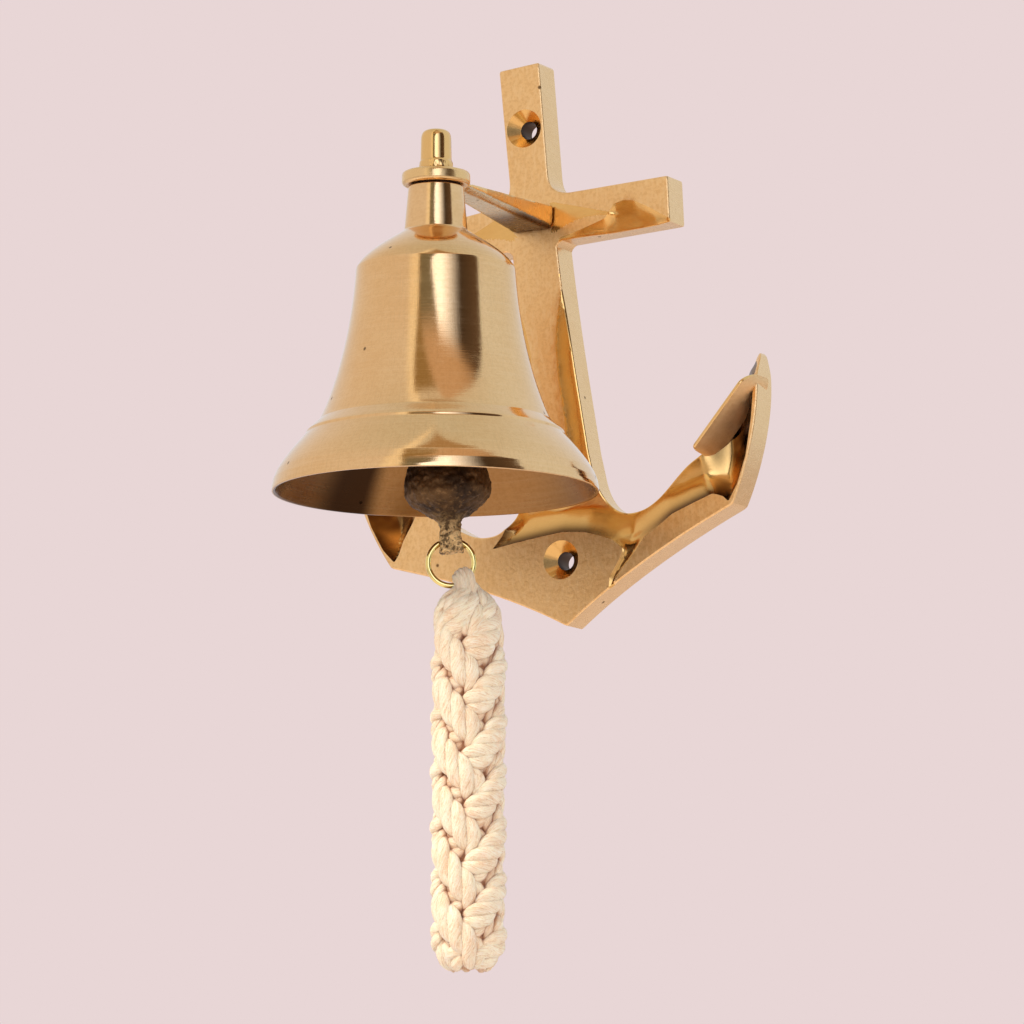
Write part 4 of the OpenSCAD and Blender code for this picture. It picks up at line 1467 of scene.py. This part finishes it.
def turned_distance(r, z):
    """The table's distance at a radius and height, blended between its cells."""
    i = np.clip((r - PT_R[0]) / CELL, 0, len(PT_R) - 1.001)
    j = np.clip((z - PT_Z[0]) / CELL, 0, len(PT_Z) - 1.001)
    a, b = i.astype(int), j.astype(int)
    u, w = i - a, j - b
    low = PT_D[a, b] * (1 - u) + PT_D[a + 1, b] * u
    high = PT_D[a, b + 1] * (1 - u) + PT_D[a + 1, b + 1] * u
    return low * (1 - w) + high * w


def box_distance(x, y, z, half, ease):
    """Distance to a box of these half sizes with edges rounded by ease."""
    q = [np.abs(c) - (h - ease) for c, h in zip((x, y, z), half)]
    outside = np.sqrt(sum(np.maximum(c, 0) ** 2 for c in q))
    return outside + np.minimum(np.maximum.reduce(q), 0) - ease


def clapper_field(x, y, z):
    """Below 0 inside the clapper: the turned ball and stem, its tail with a cross hole, and its eye."""
    f = turned_distance(np.hypot(x, y), z)
    zc = -(BALL_DROP + 10.3)
    spread = 1 + 0.14 * (zc - z) / 4.3
    tail = box_distance(x / spread, y, z - zc, (2.4, 2.1, 4.3), 0.45)
    f = smooth_min(f, tail, 1.2)
    eye_r, eye_wire = 3.0, 1.2
    ring = np.hypot(np.hypot(x, z + 0.8) - eye_r, y) - eye_wire
    f = smooth_min(f, ring, 0.5)
    hole = 1.25 - np.hypot(y, z + HOLE_DROP)
    return smooth_max(f, hole, 0.3)


def cast_share(v):
    """How rough the clapper is: most on its ball and its tail, but not in the cross hole."""
    ball = smoothstep(-v[:, 2], 28, 33)
    tail = smoothstep(-v[:, 2], 47, 50)
    return 0.25 + 0.75 * ball * (1 - tail) + 0.9 * tail * (np.hypot(v[:, 1], v[:, 2] + HOLE_DROP) > 1.5)


def make_clapper():
    verts, faces = net(clapper_field, (-11, -11, -56.5), (11, 11, 3.3), 0.34)
    verts = rough(verts, faces, 0.34, 0.55, cast_share, 5.0, 5)
    verts = placed(*lean(verts, TILT).T, PIVOT)
    make_piece("clapper_cast", verts, faces, [ROUGH_CAST], "clapper_group", ("clapper",),
               sharp=60)


make_clapper()


# ---------------------------------------------------------------- split ring
def make_split_ring():
    """One wire bent round to a butt joint, with a hair's gap."""
    joint, gap = math.radians(118), math.radians(2.2)
    t = np.linspace(joint + gap / 2, joint + 2 * math.pi - gap / 2, 150)
    path = placed(RING_R * np.cos(t), 0 * t, RING_R * np.sin(t), RING_C)
    radius = np.full(len(path), WIRE_R)
    radius[[0, -1]] *= 0.8
    verts, faces = tube(path, radius, 30)[:2]
    make_piece("split_ring_wire", verts, faces, [RING_BRASS], "ring_group",
               ("split_ring",), sharp=50)


make_split_ring()


# ---------------------------------------------------------------- floor, light and world
def make_floor():
    m, nt, bsdf = new_material("floor")
    n = Nodes(nt)
    p = n.coord()
    nt.links.new(n.mix(n.noise(p, 3, 3), (0.80, 0.72, 0.72), (0.84, 0.77, 0.77)), bsdf.inputs["Base Color"])
    bsdf.inputs["Roughness"].default_value = 0.9
    mesh = bpy.data.meshes.new("floor")
    size, z = 6.0, -0.62  # metres
    mesh.from_pydata([(-size, -size, z), (size, -size, z), (size, size, z), (-size, size, z)], [],
                     [(0, 1, 2, 3)])
    mesh.materials.append(m)
    o = bpy.data.objects.new("floor", mesh)
    bpy.context.scene.collection.objects.link(o)


make_floor()


def area(name, azimuth, elevation, distance, size, power, colour):
    """A soft light that looks at the object from an azimuth (0 in front, 90 to the right) and elevation."""
    light = bpy.data.lights.new(name, "AREA")
    light.shape, light.size = "SQUARE", size
    light.energy, light.color = power, colour
    o = bpy.data.objects.new(name, light)
    bpy.context.scene.collection.objects.link(o)
    a, e = math.radians(azimuth), math.radians(elevation)
    d = Vector((math.sin(a) * math.cos(e), -math.cos(a) * math.cos(e), math.sin(e)))
    o.location = CAM_TARGET + d * distance
    o.rotation_mode = "QUATERNION"
    o.rotation_quaternion = d.to_track_quat("Z", "Y")
    o.visible_camera = o.visible_glossy = False


area("key", -38, 42, 1.3, 0.7, 17, (1.0, 0.95, 0.88))
area("fill", 60, 10, 1.5, 0.8, 6, (1.0, 0.95, 0.90))


def make_world():
    """A photographer's light tent: bright sheets all round, with a dark gap in front that holds one tall light."""
    w = bpy.data.worlds.new("tent")
    bpy.context.scene.world = w
    w.use_nodes = True
    nt = w.node_tree
    nt.nodes.clear()
    n = Nodes(nt)
    out = nt.nodes.new("ShaderNodeOutputWorld")
    direction = nt.nodes.new("ShaderNodeTexCoord").outputs["Generated"]
    x, y, z = n.sep(direction)
    azimuth = n.math("MULTIPLY", n.math("ARCTAN2", x, n.math("MULTIPLY", y, -1.0)), 180 / math.pi)
    elevation = n.math("MULTIPLY", n.math("ARCSINE", z), 180 / math.pi)

    left, right = (0.80, 0.745, 0.74), (0.77, 0.84, 0.96)
    base = n.mix(n.remap(azimuth, 20, 110, 0, 1, True), left, right)
    base = n.mix(n.remap(azimuth, -170, -80, 0.8, 0, True), base, right)
    base = n.mix(n.remap(elevation, 30, 85, 0, 0.75, True), base, (0.62, 0.64, 0.62))
    base = n.mix(n.remap(elevation, -28, -66, 0, 0.85, True), base, (0.28, 0.22, 0.16))

    def between(lo, hi, soft_lo, soft_hi):
        """1 where the azimuth lies between two edges, with soft flanks."""
        a = n.remap(n.math("SUBTRACT", azimuth, lo), -soft_lo, soft_lo, 0, 1, True)
        b = n.remap(n.math("SUBTRACT", azimuth, hi), -soft_hi, soft_hi, 1, 0, True)
        return n.math("MULTIPLY", a, b)

    def ramp(value, lo, hi, power=1.0):
        """0 up to lo and 1 from hi, by a power of the share between them."""
        return n.math("POWER", n.remap(value, lo, hi), power)

    def line(start, rise, share):
        """An edge's azimuth, which moves by rise as share goes from 0 to 1."""
        return n.math("MULTIPLY_ADD", share, rise, start)

    # a tall screen in front, seen in the bell as a dark panel with a rounded foot, and the lamp beside it
    high = ramp(elevation, 62, 86)
    screen_lo = line(7.0, 34.0, ramp(elevation, 28, 59, 1.5))
    screen_hi = line(94.0, -43.0, ramp(elevation, 30, 59, 2.4))
    flank_lo = line(5.8, -5.0, ramp(elevation, 26, 44))
    lamp_lo = line(18.5, 14.0, ramp(elevation, 14, 34))
    past_lamp = n.math("SUBTRACT", azimuth, lamp_lo)
    screen = n.math("MULTIPLY", between(screen_lo, screen_hi, 1.0, 0.8), n.remap(elevation, 58.5, 59.5, 1, 0))
    flank = n.math("MULTIPLY", between(flank_lo, 35.0, 1.0, 1.0), n.remap(elevation, 53, 56, 1, 0))
    hood = between(line(5.0, 27.0, high), line(80.0, -46.0, high), 1.5, 1.5)
    hood = n.math("MULTIPLY", hood, n.remap(elevation, 60, 61.5))
    lamp = n.math("MULTIPLY", n.remap(past_lamp, -1.0, 1.0),
                  ramp(n.math("MULTIPLY", azimuth, -1.0), -66, -38, 1.2))
    lit = n.mix(lamp, (0.05, 0.038, 0.03), (1.75, 1.95, 2.6))
    lit = n.mix(n.remap(past_lamp, -1.5, 1.5, 1, 0), lit, (0.22, 0.21, 0.17))
    turned_on = n.math("SUBTRACT", elevation, n.remap(azimuth, 30, 95, 0, 13))
    lit = n.mix(n.remap(turned_on, 29, 38, 0, 1, True), lit, (0.64, 0.47, 0.36))
    lit = n.mix(n.remap(azimuth, 60, 92, 0, 0.5), lit, (0.20, 0.13, 0.09))
    sky = n.mix(between(-8, 6, 5, 1.5), base, (1.02, 0.95, 0.85))
    sky = n.mix(flank, sky, (0.34, 0.24, 0.12))
    sky = n.mix(screen, sky, lit)
    sky = n.mix(hood, sky, (0.45, 0.32, 0.20))
    back_bg = nt.nodes.new("ShaderNodeBackground")
    nt.links.new(sky, back_bg.inputs[0])
    back_bg.inputs[1].default_value = 1.0
    seen = nt.nodes.new("ShaderNodeBackground")
    seen.inputs[0].default_value = (0.807, 0.672, 0.672, 1)
    pick = nt.nodes.new("ShaderNodeMixShader")
    nt.links.new(nt.nodes.new("ShaderNodeLightPath").outputs["Is Camera Ray"], pick.inputs[0])
    nt.links.new(back_bg.outputs[0], pick.inputs[1])
    nt.links.new(seen.outputs[0], pick.inputs[2])
    nt.links.new(pick.outputs[0], out.inputs[0])


make_world()
bpy.context.scene.view_settings.view_transform = "Standard"
